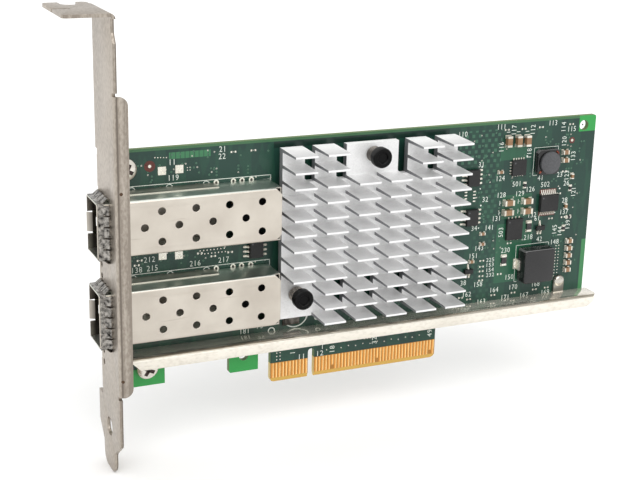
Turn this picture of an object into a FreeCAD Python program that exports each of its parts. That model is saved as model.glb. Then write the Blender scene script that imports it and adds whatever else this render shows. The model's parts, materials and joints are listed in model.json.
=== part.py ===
"""Dual-port network interface card: low-profile board, full-height bracket, pin-fin heat sink.

Millimetres. Origin: middle of the edge connector's key notch, at the fingers' lower edge, on the
board's component face. +X runs from the bracket to the far end, -Y is the component side, +Z is up.
"""
import FreeCAD, Part
import math
import os
from FreeCAD import Vector

os.makedirs("parts", exist_ok=True)

# ---------------------------------------------------------------- driving dimensions
seat_gap = 0.05                  # drawn clearance where one piece passes through another
cut_over = 1.0                   # how far a cutter runs past what it cuts
near_full = 0.98                 # share of a half width that its end's round takes
touching = 1e-6                  # lengths below this count as nothing

# sides of the small round parts, which repeat
screw_sides = 16
pin_sides = 16
rivet_sides = 12
vent_sides = 10
lamp_sides = 10
drum_sides = 24

# board
board_thick = 1.57
board_top_z = 68.9
board_long = 146.7
board_shoulder_z = 10.2          # lower edge of the board between the tabs
board_corner_r = 0.6
step_corner_r = 0.5
board_tab_z = 4.65               # lower edge of the two handling tabs
bracket_to_board = 0.4
tongue_left_x = -12.15
tongue_right_x = 39.15
key_half = 0.95
key_height = 8.4
tongue_corner = 1.3
bevel_height = 1.3
bevel_depth = 0.45
screw_tab_past_screw = 4.9
hole_tab_left_x = -24.2
hole_tab_right_x = -15.8
hole_tab_hole_up = 4.45
hole_tab_hole_r = 1.3
tooling_hole_from_end = 4.0
tooling_hole_from_top = 2.9
tooling_hole_r = 1.5

# edge contacts
contact_pitch = 1.0
contact_width = 0.7
contact_top_z = 5.6
contact_short = 1.3              # how much later the presence contacts start
contact_thick = 0.05
contact_first_x = -11.5
contact_after_key_x = 1.5
contacts_before_count = 11
contacts_after_count = 38
presence_contacts = (17, 31, 48)

# bracket: 0.86 mm sheet, 120.02 mm tall
sheet = 0.86
bend_inside_r = 0.5
bracket_face_x = -58.75          # outer face of the blade
bracket_top_z = 105.2
bracket_height = 120.02
blade_width = 18.42
tab_step_back = 3.17             # how far the tab stands behind the blade: 21.59 mm wide in all
tab_reach = 11.43
tab_front_r = 1.2
tab_back_r = 1.5
upper_inset = 1.45               # narrower stretch under the tab
upper_inset_z = 100.5
upper_inset_run = 2.3
upper_inset_r = 1.0
flange_top_z = 85.65
flange_bottom_z = 9.4
flange_reach = 3.45
flange_corner_r = 2.2
relief_deep = 1.7
relief_high = 0.9
lower_front_inset = 0.8
wide_back = 2.4                  # how far the lower stretch widens behind the blade
wide_top_up = 18.72              # heights above the tongue's tip
wide_bottom_up = 10.37
tongue_top_up = 5.92
tongue_width = 10.19
tongue_back_inset = 1.7
tongue_tip_r = 3.2
tongue_bend_r = 1.5
tongue_hole_r = 2.5
tongue_hole_up = 12.02
tongue_hole_inset = 7.5          # from the blade's back edge
notch_width = 4.42
notch_deep = 4.9
notch_from_face = 5.35
slit_width = 0.8
slit_long = 4.3
slit_from_back = 11.0
ear_high = 8.0
ear_past_screw = 3.9
ear_corner_r = 2.0
ear_notch_over_board = 0.8
edge_cut_back = 0.93             # blade's back edge between the ears

# bracket screws
screw_r = 1.5
screw_hole_r = 1.75
screw_head_r = 3.0
screw_head_high = 2.1
screw_head_flat_r = 2.0
screw_head_edge = 1.1
screw_past_ear = 0.9
recess_half = 1.7
recess_width = 0.9
recess_deep = 1.1
upper_screw_from_end = 5.5       # from the board's bracket end
upper_screw_from_top = 4.9
lower_screw_from_end = 10.3
screw_below_rail = 1.7           # clearance between the lower head and the rail's flange

# cages
port_upper_z = 51.23
port_lower_z = 27.83
cage_sheet = 0.25
cage_width = 14.25
cage_high = 9.75
cage_nose = 3.15                 # how far the mouth stands out of the bracket
cage_long = 48.5
cage_bend_r = 0.5
cage_corner_notch = 1.7
vent_r = 1.03
vent_pitch_x = 4.445
vent_pitch_z = 3.95
vent_from_rear = 5.4
vent_column_count = 8
flap_high = 4.3
flap_from_base_end = 1.7
flap_from_bracket = 0.9
base_from_host = 2.9             # clearance between the cage's floor and the host connector
tail_width = 0.6
tail_past_board = 0.95
tail_slot_clear = 0.15
flap_tails = (10.0, 19.2, 28.8)  # from the mouth
wall_tails = (9.9, 4.9)          # from the rear
rear_tail_offset = 3.5
latch_half = 2.5
latch_slit = 0.45
latch_long = 9.0
latch_lip = 1.3
latch_window = 2.4
latch_window_from_lip = 0.9
latch_lip_drop = 0.75
port_cut_clear = 0.43
port_cut_corner_r = 0.8

# spring collars
collar_sheet = 0.18
collar_band = 1.45
collar_from_mouth = 0.2
finger_flare = 1.25
finger_slot = 0.45
finger_crest = 0.5               # flat end of each finger, at the bracket
finger_root = 0.3                # overlap of each finger with the band
long_side_finger_count = 5
short_side_finger_count = 4

# host connectors
host_long = 9.1
host_wide = 9.8
host_high = 5.6
host_from_rear = 1.5
host_slot_high = 1.15
host_slot_wide = 8.3
host_slot_deep = 5.0
host_slot_y = 3.4
host_nose_long = 1.6
host_nose_drop = 0.5
host_corner_r = 0.3

# controller, pad and heat sink
chip_size = 25.0
chip_substrate = 1.0
chip_lid_size = 21.0
chip_high = 2.2
pad_thick = 0.2
pad_inset = 1.0
sink_from_cage = 2.15            # clearance between the cages' rear and the heat sink
sink_bottom_z = 20.1
sink_base = 2.0
fin_high = 8.8
fin_row_count = 12
fin_pitch_z = 4.19
fin_root = 0.9
fin_tip = 0.55
fin_column_count = 6
fin_long = 6.3
fin_pitch_x = 9.14
land_top_count = 2               # rows left out round the upper pin, in two columns
land_bottom_count = 3            # rows left out round the lower pin, in the first column
through_top_count = 2
through_bottom_count = 2
through_over = 0.9
land_top_column = 2              # the land takes this column and the next
land_over = 0.35                 # saw run-out beside the next row

# push pins and springs
upper_pin_down = 3.0             # from the heat sink's top edge, on its middle
lower_pin_in = 4.25              # from the heat sink's left edge
lower_pin_up = 7.0               # from its bottom edge
pin_cap_r = 2.75
pin_cap_high = 2.2
pin_cap_chamfer = 0.35
pin_recess_r = 1.5
pin_recess_deep = 0.5
pin_shank_r = 1.3
pin_hole_clear = 0.12
pin_barb_r = 1.75
pin_barb_long = 2.3
pin_barb_edge = 0.5
pin_barb_tip_r = 0.8
pin_slot = 0.6
spring_high = 4.1
spring_coil_r = 1.95
spring_wire_r = 0.24
spring_turn_count = 4
spring_step_count = 10           # straight runs a turn
spring_side_count = 4            # sides of the wire's section

# stiffener rail
rail_sheet = 0.8
rail_bend_r = 0.35
rail_top_up = 5.1                # from the board's lower edge
rail_reach = 6.5
rail_lip_high = 3.4
rail_from_bracket = 5.1
rail_past_board = 1.4
rail_wall_from_end = 14.9        # from the board's bracket end
rail_wall_from_far_end = 1.0
rail_wall_high = 4.6
rail_left_cut = 2.3
rail_corner_r = 2.4
rail_end_r = 1.0
rail_right_cut = 3.8
rail_ear_from_far_end = 9.0
rail_ear_r = 1.75
rail_ear_high = 5.3
rail_rivet_from_end = 25.5
rivet_r = 0.9
rivet_head_r = 1.35
rivet_head_high = 0.7
rivet_head_edge = 0.25
rivet_flat_r = 0.75

# inductors
inductor_size = 10.2
inductor_high = 4.6
inductor_at = (18.8, 25.8)       # from the board's far end, height
inductor_corner = 0.8
terminal_wide = 3.0
terminal_sheet = 0.35
terminal_high = 1.9
terminal_under = 2.2
drum_base = 7.4
drum_base_corner = 1.8
drum_base_high = 0.9
drum_high = 3.0
drum_r = 3.35
drum_chamfer = 0.3
drum_flange = 0.9
drum_neck_inset = 0.35
drum_at = (16.4, 56.3)

# packages: distance of the middle from the board's far end, height
memory_at = ((40.7, 53.4), (40.5, 41.7))
port_chip_from_cage = 3.6        # the third eight-lead package, between the cages
memory_body = (3.9, 4.9, 1.5)
memory_lead_pitch = 1.27
memory_lead_count = 4
package_slope = 0.13
package_part = 0.45              # share of the thickness behind the parting line
package_lift = 0.06              # share of it that the body stands off the board
lead_reach = 1.05
lead_wide = 0.4
lead_thick = 0.2
driver_at = (14.8, 43.7)
driver_body = (6.2, 5.1, 1.5)
driver_lead_pitch = 0.65
driver_lead_count = 8
driver_lead_wide = 0.3
regulator_at = (25.6, 55.1)
regulator_body = (4.6, 4.6, 0.9)
switch_at = (25.9, 36.7)
switch_body = (5.3, 6.3, 1.0)
transistor_at = ((16.9, 36.2), (40.4, 25.4))
transistor_body = (2.9, 1.5, 1.05)
transistor_lead_pitch = 0.95

# capacitors and resistors: distance from the far end, height, long axis upright or not
end_cap_share = 0.2              # of a part's length
end_cap_proud = 0.03
large_cap = (3.2, 1.6, 1.4)
large_caps = (
    (29.6, 63.1, True), (26.3, 63.0, True), (23.3, 62.9, True),
    (28.3, 44.9, False), (22.1, 44.9, False), (28.4, 42.0, False), (22, 41.9, False),
)
medium_cap = (2.0, 1.25, 1.1)
cap_column_from_end = 6.3
cap_column_z = 31.1
cap_column_pitch = 2.25
cap_column_count = 5
medium_caps = ((10, 58.5, False), (9.9, 56.1, False))
small_cap = (1.6, 0.8, 0.75)
small_caps = (
    (31.5, 54.2, False), (39.5, 28.2, False), (36.3, 36.3, False), (36.2, 33.2, False),
    (6.9, 51.0, True), (8.4, 42.0, True),
)
large_resistor = (3.2, 1.6, 0.55)
large_resistors = ((20.7, 37.0, True), (28.5, 27.4, True))
small_resistor = (1.6, 0.8, 0.45)
small_resistors = ((7.2, 47.4, True), (7, 38.5, False), (8.5, 35.2, True), (23, 49.6, True))

# crystal and lamps
crystal_in = 4.85                # from the heat sink's left edge
crystal_below = 2.2              # from its bottom edge
crystal_body = (5.0, 2.8, 1.1)
crystal_rim = 0.5
crystal_tray = 0.55
lamp_hole_r = 0.8
lamp_y = -1.1
lamp_below_port = (10.95, 14.05)
lamp_body = (1.8, 1.5, 1.8)
lamp_lens_r = 0.65
lamp_lens_long = 0.3
lamp_from_board_end = 0.1

# ---------------------------------------------------------------- derived places
bracket_inner_x = bracket_face_x + sheet
board_left_x = bracket_inner_x + bracket_to_board
board_right_x = board_left_x + board_long
ear_outer_y = board_thick + sheet
blade_back_y = ear_outer_y
blade_front_y = blade_back_y - blade_width
tab_back_y = blade_back_y + tab_step_back
bracket_bottom_z = bracket_top_z - bracket_height
bend_outside_r = bend_inside_r + sheet
rail_top_z = board_shoulder_z + rail_top_up
rail_under_z = rail_top_z - rail_sheet
upper_screw = (board_left_x + upper_screw_from_end, board_top_z - upper_screw_from_top)
lower_screw = (board_left_x + lower_screw_from_end, rail_under_z - screw_head_r - screw_below_rail)
screws = (upper_screw, lower_screw)
screw_tab_right_x = lower_screw[0] + screw_tab_past_screw
mouth_x = bracket_face_x - cage_nose
cage_rear_x = mouth_x + cage_long
host_right_x = cage_rear_x - host_from_rear
host_left_x = host_right_x - host_long
base_end_x = host_left_x - base_from_host
ports = {"upper": port_upper_z, "lower": port_lower_z}
sink_left_x = cage_rear_x + sink_from_cage
sink_right_x = sink_left_x + fin_pitch_x * (fin_column_count - 1) + fin_long
sink_back_y = -(chip_high + pad_thick)
sink_front_y = sink_back_y - sink_base
sink_top_z = sink_bottom_z + fin_pitch_z * (fin_row_count - 1) + fin_root
chip_x = (sink_left_x + sink_right_x) / 2
chip_z = (sink_bottom_z + sink_top_z) / 2
pins = (
    (chip_x, sink_top_z - upper_pin_down),
    (sink_left_x + lower_pin_in, sink_bottom_z + lower_pin_up),
)
cap_back_y = sink_front_y - spring_high
pin_hole_r = pin_shank_r + pin_hole_clear
rail_left_x = bracket_inner_x + rail_from_bracket
rail_right_x = board_right_x + rail_past_board
rail_ear_x = board_right_x - rail_ear_from_far_end
rail_ear_top_z = rail_top_z + rail_ear_high


# ---------------------------------------------------------------- shape helpers
def at_xz(y):
    """Return a map from (x, z) in a plane of constant y to a point."""
    return lambda u, v: Vector(u, y, v)


def at_yz(x):
    """Return a map from (y, z) in a plane of constant x to a point."""
    return lambda u, v: Vector(x, u, v)


def at_xy(z):
    """Return a map from (x, y) in a plane of constant z to a point."""
    return lambda u, v: Vector(u, v, z)


def along_x(length):
    """Return a vector along X."""
    return Vector(length, 0, 0)


def along_y(length):
    """Return a vector along Y."""
    return Vector(0, length, 0)


def along_z(length):
    """Return a vector along Z."""
    return Vector(0, 0, length)


def outline(corners, place):
    """Close a wire through corners (u, v, radius); a radius of 0 stays sharp."""
    count = len(corners)
    starts = []
    for i in range(count):
        u, v, r = corners[i]
        before = corners[i - 1]
        after = corners[(i + 1) % count]
        if r <= 0:
            starts.append(((u, v), None, (u, v)))
            continue
        back = (before[0] - u, before[1] - v)
        fore = (after[0] - u, after[1] - v)
        back_len = math.hypot(*back)
        fore_len = math.hypot(*fore)
        back = (back[0] / back_len, back[1] / back_len)
        fore = (fore[0] / fore_len, fore[1] / fore_len)
        half = math.acos(max(-1.0, min(1.0, back[0] * fore[0] + back[1] * fore[1]))) / 2
        run = r / math.tan(half)
        middle = (back[0] + fore[0], back[1] + fore[1])
        middle_len = math.hypot(*middle)
        to_arc = r / math.sin(half) - r
        starts.append((
            (u + back[0] * run, v + back[1] * run),
            (u + middle[0] / middle_len * to_arc, v + middle[1] / middle_len * to_arc),
            (u + fore[0] * run, v + fore[1] * run),
        ))
    edges = []
    for i in range(count):
        first, crown, last = starts[i]
        following = starts[(i + 1) % count][0]
        if crown:
            edges.append(Part.Arc(place(*first), place(*crown), place(*last)).toShape())
        if math.dist(last, following) > touching:
            edges.append(Part.LineSegment(place(*last), place(*following)).toShape())
    return Part.Wire(edges)


def prism(corners, place, along):
    """Extrude a closed outline of (u, v, radius) corners."""
    return Part.Face(outline(corners, place)).extrude(along)


def ring_of(middle_u, middle_v, wide, high, r):
    """List the corners of a rectangle round a middle, each with radius r."""
    return [(middle_u + su * wide / 2, middle_v + sv * high / 2, r)
            for su, sv in ((-1, -1), (1, -1), (1, 1), (-1, 1))]


def block(x0, x1, y0, y1, z0, z1):
    """Make a box from its limits."""
    return Part.makeBox(x1 - x0, y1 - y0, z1 - z0, Vector(x0, y0, z0))


def drill_y(x, z, r, y0, y1):
    """Make a cylinder along +Y."""
    return Part.makeCylinder(r, y1 - y0, Vector(x, y0, z), Vector(0, 1, 0))


def drill_x(y, z, r, x0, x1):
    """Make a cylinder along +X."""
    return Part.makeCylinder(r, x1 - x0, Vector(x0, y, z), Vector(1, 0, 0))


def many_sided(u, v, r, sides):
    """List the corners of a regular outline that stands in for a small circle."""
    step = 2 * math.pi / sides
    return [(u + r * math.cos(step * (i + 0.5)), v + r * math.sin(step * (i + 0.5)), 0)
            for i in range(sides)]


def turned_y(x, z, profile, sides):
    """Stack the drums and cones of a half profile (radius, y) on an axis along +Y."""
    stack = []
    for (r0, y0), (r1, y1) in zip(profile, profile[1:]):
        if y1 > y0:
            rings = [outline(many_sided(x, z, r, sides), at_xz(y)) for r, y in ((r0, y0), (r1, y1))]
            stack.append(Part.makeLoft(rings, True, True))
    return joined(stack[0], stack[1:])


def fitted_hole(x, z, r, sides, y0, y1):
    """Make the cutter for a hole that a small turned part passes through."""
    return prism(many_sided(x, z, r, sides), at_xz(y0), along_y(y1 - y0))


def joined(first, others):
    """Fuse solids into one and merge faces that lie in one surface."""
    return first.fuse(others).removeSplitter()


def save(name, shapes):
    """Write one sub-part, a solid or a group of solids, to its STEP file."""
    if isinstance(shapes, (list, tuple)):
        shape = Part.makeCompound(list(shapes))
    else:
        shape = shapes
    solids = shape.Solids
    assert solids, name
    assert all(s.isValid() for s in solids), name
    if len(solids) == 1:
        shape = solids[0]
    shape.exportStep("parts/%s.step" % name)
    print("%-28s %3d solids %10.2f mm3" % (name, len(solids), shape.Volume))


# ---------------------------------------------------------------- board
def tail_places(port_z):
    """List (x, z, lengthwise) of a cage floor's tails and of its shell's tails."""
    flap_z = cage_width / 2 + cage_sheet / 2
    wall_z = cage_width / 2 - cage_sheet / 2
    floor = [(mouth_x + d, port_z + s * flap_z, True) for d in flap_tails for s in (-1, 1)]
    shell = [(cage_rear_x - d, port_z + s * wall_z, True) for d in wall_tails for s in (-1, 1)]
    rear_x = cage_rear_x - cage_sheet / 2
    shell += [(rear_x, port_z + s * rear_tail_offset, False) for s in (-1, 1)]
    return floor, shell


def tail(place, clear, y0, y1):
    """Make a cage tail, or with a clearance the slot for it, between two depths."""
    x, z, lengthwise = place
    long_half = tail_width / 2 + clear
    thin_half = cage_sheet / 2 + clear
    half_x, half_z = (long_half, thin_half) if lengthwise else (thin_half, long_half)
    return block(x - half_x, x + half_x, y0, y1, z - half_z, z + half_z)


def board():
    """Cut the board to its outline, bevel its tongues and drill it."""
    low = board_shoulder_z
    key_r = key_half * near_full
    corners = [
        (board_left_x, board_top_z, board_corner_r),
        (board_right_x, board_top_z, board_corner_r),
        (board_right_x, low, board_corner_r),
        (tongue_right_x, low, step_corner_r),
        (tongue_right_x, 0, tongue_corner),
        (key_half, 0, 0),
        (key_half, key_height, key_r),
        (-key_half, key_height, key_r),
        (-key_half, 0, 0),
        (tongue_left_x, 0, tongue_corner),
        (tongue_left_x, low, step_corner_r),
        (hole_tab_right_x, low, step_corner_r),
        (hole_tab_right_x, board_tab_z, 0),
        (hole_tab_left_x, board_tab_z, board_corner_r),
        (hole_tab_left_x, low, step_corner_r),
        (screw_tab_right_x, low, step_corner_r),
        (screw_tab_right_x, board_tab_z, 0),
        (board_left_x, board_tab_z, board_corner_r),
    ]
    plate = prism(corners, at_xz(0), along_y(board_thick))
    cuts = []
    run = along_x(tongue_right_x - tongue_left_x + 2 * cut_over)
    for face_y, inward in ((0, 1), (board_thick, -1)):
        wedge = [
            (face_y - inward * cut_over, -cut_over, 0),
            (face_y - inward * cut_over, bevel_height, 0),
            (face_y, bevel_height, 0),
            (face_y + inward * bevel_depth, 0, 0),
            (face_y + inward * bevel_depth, -cut_over, 0),
        ]
        cuts.append(prism(wedge, at_yz(tongue_left_x - cut_over), run))
    back = board_thick + cut_over
    hole_tab_x = (hole_tab_left_x + hole_tab_right_x) / 2
    cuts.append(drill_y(board_right_x - tooling_hole_from_end, board_top_z - tooling_hole_from_top,
                        tooling_hole_r, -cut_over, back))
    cuts.append(drill_y(hole_tab_x, board_tab_z + hole_tab_hole_up, hole_tab_hole_r,
                        -cut_over, back))
    cuts += [fitted_hole(x, z, screw_hole_r, screw_sides, -cut_over, back) for x, z in screws]
    cuts += [fitted_hole(x, z, pin_hole_r, pin_sides, -cut_over, back) for x, z in pins]
    cuts += [fitted_hole(x, z, rivet_r + seat_gap, rivet_sides, -cut_over, back)
             for x, z in rivet_places()]
    for port_z in ports.values():
        for group in tail_places(port_z):
            cuts += [tail(place, tail_slot_clear, -cut_over, back) for place in group]
    return plate.cut(cuts)


def edge_contacts(face_y, outward, short_numbers):
    """Lay one row of contacts on a face of the tongues."""
    pads = []
    y0, y1 = sorted((face_y, face_y + outward * contact_thick))
    for number in range(1, contacts_before_count + contacts_after_count + 1):
        if number <= contacts_before_count:
            x = contact_first_x + contact_pitch * (number - 1)
        else:
            x = contact_after_key_x + contact_pitch * (number - contacts_before_count - 1)
        low = bevel_height + (contact_short if number in short_numbers else 0)
        left = x - contact_width / 2
        pads.append(block(left, left + contact_width, y0, y1, low, contact_top_z))
    return pads


# ---------------------------------------------------------------- bracket
def ear(screw):
    """Fold one ear behind the board, level with a screw."""
    x, z = screw
    end = x + ear_past_screw
    section = [
        (bracket_face_x, edge_cut_back, 0),
        (bracket_face_x, ear_outer_y, bend_outside_r),
        (end, ear_outer_y, 0),
        (end, board_thick, 0),
        (bracket_inner_x, board_thick, 0),
        (bracket_inner_x, edge_cut_back, 0),
    ]
    low = z - ear_high / 2
    high = low + ear_high
    folded = prism(section, at_xy(low), along_z(ear_high))
    past = bracket_face_x - cut_over
    face = [(past, low, 0), (past, high, 0), (end, high, ear_corner_r), (end, low, ear_corner_r)]
    rounded = folded.common(prism(face, at_xz(0), along_y(ear_outer_y + cut_over)))
    hole = fitted_hole(x, z, screw_r + seat_gap, screw_sides, 0, ear_outer_y + cut_over)
    return rounded.cut(hole)


def blade():
    """Cut the blade's outline, from the tab's bend down to the tongue."""
    front = blade_front_y
    lower_front = front + lower_front_inset
    relief_front = front + relief_deep
    wide = blade_back_y + wide_back
    wide_top = bracket_bottom_z + wide_top_up
    wide_bottom = bracket_bottom_z + wide_bottom_up
    tongue_top = bracket_bottom_z + tongue_top_up
    tongue_back = blade_back_y - tongue_back_inset
    tongue_front = tongue_back - tongue_width
    top = bracket_top_z - bend_outside_r
    ear_notch = board_top_z + ear_notch_over_board
    corners = [
        (blade_back_y, top, 0),
        (front + upper_inset, top, 0),
        (front + upper_inset, upper_inset_z, upper_inset_r),
        (front, upper_inset_z - upper_inset_run, upper_inset_r),
        (front, flange_top_z + relief_high, 0),
        (relief_front, flange_top_z + relief_high, 0),
        (relief_front, flange_bottom_z - relief_high, 0),
        (lower_front, flange_bottom_z - relief_high, 0),
        (lower_front, wide_bottom, tongue_bend_r),
        (tongue_front, tongue_top, tongue_bend_r),
        (tongue_front, bracket_bottom_z, tongue_tip_r),
        (tongue_back, bracket_bottom_z, tongue_tip_r),
        (tongue_back, tongue_top, tongue_bend_r),
        (wide, wide_bottom, tongue_bend_r),
        (wide, wide_top, 0),
        (edge_cut_back, wide_top, 0),
        (edge_cut_back, ear_notch, 0),
        (blade_back_y, ear_notch, 0),
    ]
    return prism(corners, at_yz(bracket_face_x), along_x(sheet))


def top_tab():
    """Fold the screw tab outward at the top, with its notch, slit and narrow neck."""
    end = bracket_face_x - tab_reach
    under = bracket_top_z - sheet
    leg_z = bracket_top_z - bend_outside_r
    section = [
        (bracket_face_x, leg_z, 0),
        (bracket_face_x, under, bend_inside_r),
        (end, under, 0),
        (end, bracket_top_z, 0),
        (bracket_inner_x, bracket_top_z, bend_outside_r * near_full),
        (bracket_inner_x, leg_z, 0),
    ]
    folded = prism(section, at_xz(blade_front_y), along_y(tab_back_y - blade_front_y))
    bend_x = bracket_face_x - bend_inside_r
    past = bracket_inner_x + cut_over
    plan = [
        (past, blade_front_y, 0),
        (end, blade_front_y, tab_front_r),
        (end, tab_back_y, tab_back_r),
        (bend_x, tab_back_y, tab_front_r),
        (bend_x, blade_back_y, 0),
        (past, blade_back_y, 0),
    ]
    deep = along_z(bend_outside_r + 2 * cut_over)
    tab = folded.common(prism(plan, at_xy(leg_z - cut_over), deep))
    notch_x = bracket_face_x - notch_from_face
    half = notch_width / 2
    notch = [
        (notch_x - half, tab_back_y + cut_over, 0),
        (notch_x - half, tab_back_y - notch_deep, half * near_full),
        (notch_x + half, tab_back_y - notch_deep, half * near_full),
        (notch_x + half, tab_back_y + cut_over, 0),
    ]
    slit_y = tab_back_y - slit_from_back
    slit = [
        (end - cut_over, slit_y, 0),
        (end + slit_long, slit_y, 0),
        (end + slit_long, slit_y - slit_width, 0),
        (end - cut_over, slit_y - slit_width, 0),
    ]
    through = along_z(sheet + 2 * cut_over)
    return tab.cut([prism(c, at_xy(under - cut_over), through) for c in (notch, slit)])


def front_flange():
    """Fold the long stiffening flange along the blade's front edge."""
    far = bracket_face_x + flange_reach
    front = blade_front_y
    root = front + relief_deep
    section = [
        (bracket_face_x, root, 0),
        (bracket_face_x, front, bend_outside_r),
        (far, front, 0),
        (far, front + sheet, 0),
        (bracket_inner_x, front + sheet, bend_inside_r),
        (bracket_inner_x, root, 0),
    ]
    folded = prism(section, at_xy(flange_bottom_z), along_z(flange_top_z - flange_bottom_z))
    past = bracket_face_x - cut_over
    face = [
        (past, flange_bottom_z, 0),
        (past, flange_top_z, 0),
        (far, flange_top_z, flange_corner_r),
        (far, flange_bottom_z, flange_corner_r),
    ]
    return folded.common(prism(face, at_xz(front - cut_over), along_y(relief_deep + 2 * cut_over)))


def port_cut(port_z):
    """Make the cutter for one port's window in the blade."""
    high = cage_high + 2 * port_cut_clear
    wide = cage_width + 2 * port_cut_clear
    corners = ring_of(-cage_high / 2, port_z, high, wide, port_cut_corner_r)
    return prism(corners, at_yz(bracket_face_x - cut_over), along_x(sheet + 2 * cut_over))


def lamp_heights():
    """List the heights of the lamp holes, two under each port."""
    return [port_z - drop for port_z in ports.values() for drop in lamp_below_port]


def bracket():
    """Join blade, tab, flange and ears, and cut the windows and holes."""
    body = joined(blade(), [top_tab(), front_flange()] + [ear(s) for s in screws])
    cuts = [port_cut(z) for z in ports.values()]
    x0 = bracket_face_x - cut_over
    x1 = bracket_inner_x + cut_over
    cuts += [prism(many_sided(lamp_y, z, lamp_hole_r, lamp_sides), at_yz(x0), along_x(x1 - x0))
             for z in lamp_heights()]
    hole_z = bracket_bottom_z + tongue_hole_up
    cuts.append(drill_x(blade_back_y - tongue_hole_inset, hole_z, tongue_hole_r, x0, x1))
    return body.cut(cuts)


def bracket_screw(screw):
    """Turn one pan-head screw with a cross recess; its thread is left plain."""
    x, z = screw
    tip = ear_outer_y + screw_past_ear
    profile = [
        (screw_head_flat_r, -screw_head_high),
        (screw_head_r, -screw_head_edge),
        (screw_head_r, 0),
        (screw_r, 0),
        (screw_r, tip),
    ]
    body = turned_y(x, z, profile, screw_sides)
    top = -screw_head_high - cut_over
    floor = -screw_head_high + recess_deep
    half = recess_width / 2
    arm_x = block(x - recess_half, x + recess_half, top, floor, z - half, z + half)
    arm_z = block(x - half, x + half, top, floor, z - recess_half, z + recess_half)
    return body.cut([arm_x, arm_z])


# ---------------------------------------------------------------- cages
def cage_shell(port_z):
    """Fold the cage's lid, side walls and rear wall, with the lid's vents."""
    half = cage_width / 2
    inner = half - cage_sheet
    lid = -cage_high
    foot = -cage_sheet
    outer_r = cage_bend_r + cage_sheet
    section = [
        (foot, port_z - half, 0), (lid, port_z - half, outer_r),
        (lid, port_z + half, outer_r), (foot, port_z + half, 0),
        (foot, port_z + inner, 0), (lid + cage_sheet, port_z + inner, cage_bend_r),
        (lid + cage_sheet, port_z - inner, cage_bend_r), (foot, port_z - inner, 0),
    ]
    channel = prism(section, at_yz(mouth_x), along_x(cage_long))
    rear = block(cage_rear_x - cage_sheet, cage_rear_x, lid + cage_sheet / 2, foot,
                 port_z - inner, port_z + inner)
    tail_end = board_thick + tail_past_board
    tails = [tail(p, 0, foot - cage_sheet / 2, tail_end) for p in tail_places(port_z)[1]]
    shell = joined(channel, [rear] + tails)
    cuts = []
    past_x = cage_rear_x + cut_over
    for side in (-1, 1):
        wall = port_z + side * (half + cut_over)
        corner = [
            (past_x, wall, 0),
            (past_x, wall - side * (cage_corner_notch + 2 * cut_over), 0),
            (past_x - cage_corner_notch - 2 * cut_over, wall, 0),
        ]
        cuts.append(prism(corner, at_xz(lid - cut_over), along_y(cut_over + outer_r)))
    for column in range(vent_column_count):
        rows = (0,) if column % 2 == 0 and column < vent_column_count - 1 else (-1, 1)
        x = cage_rear_x - vent_from_rear - vent_pitch_x * (vent_column_count - 1 - column)
        for row in rows:
            z = port_z + vent_pitch_z * row
            cuts.append(fitted_hole(x, z, vent_r, vent_sides, lid - cut_over, lid + cut_over))
    return shell.cut(cuts)


def cage_base(port_z):
    """Fold the cage's floor with its side flaps, tails and latch tongue."""
    half = cage_width / 2
    floor = block(mouth_x, base_end_x, -cage_sheet, 0, port_z - half, port_z + half)
    flap_x0 = bracket_inner_x + flap_from_bracket
    flap_x1 = base_end_x - flap_from_base_end
    pieces = []
    for side in (-1, 1):
        z0, z1 = sorted((port_z + side * half, port_z + side * (half + cage_sheet)))
        pieces.append(block(flap_x0, flap_x1, -flap_high, 0, z0, z1))
    tail_end = board_thick + tail_past_board
    pieces += [tail(p, 0, -cage_sheet, tail_end) for p in tail_places(port_z)[0]]
    body = joined(floor, pieces)
    x0 = mouth_x - cut_over
    cuts = []
    for side in (-1, 1):
        z0, z1 = sorted((port_z + side * latch_half, port_z + side * (latch_half + latch_slit)))
        cuts.append(block(x0, mouth_x + latch_long, -cut_over, cut_over, z0, z1))
    lip_x = mouth_x + latch_lip
    cuts.append(block(x0, lip_x, -cut_over, cut_over, port_z - latch_half, port_z + latch_half))
    window_x = lip_x + latch_window_from_lip
    cuts.append(block(window_x, window_x + latch_window, -cut_over, cut_over,
                      port_z - latch_window / 2, port_z + latch_window / 2))
    tip_x = mouth_x + seat_gap
    lip = [
        (lip_x, 0, 0), (tip_x, latch_lip_drop, 0),
        (tip_x, latch_lip_drop - cage_sheet, 0), (lip_x, -cage_sheet, 0),
    ]
    tongue_lip = prism(lip, at_xy(port_z - latch_half), along_z(2 * latch_half))
    return joined(body.cut(cuts), [tongue_lip])


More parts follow.
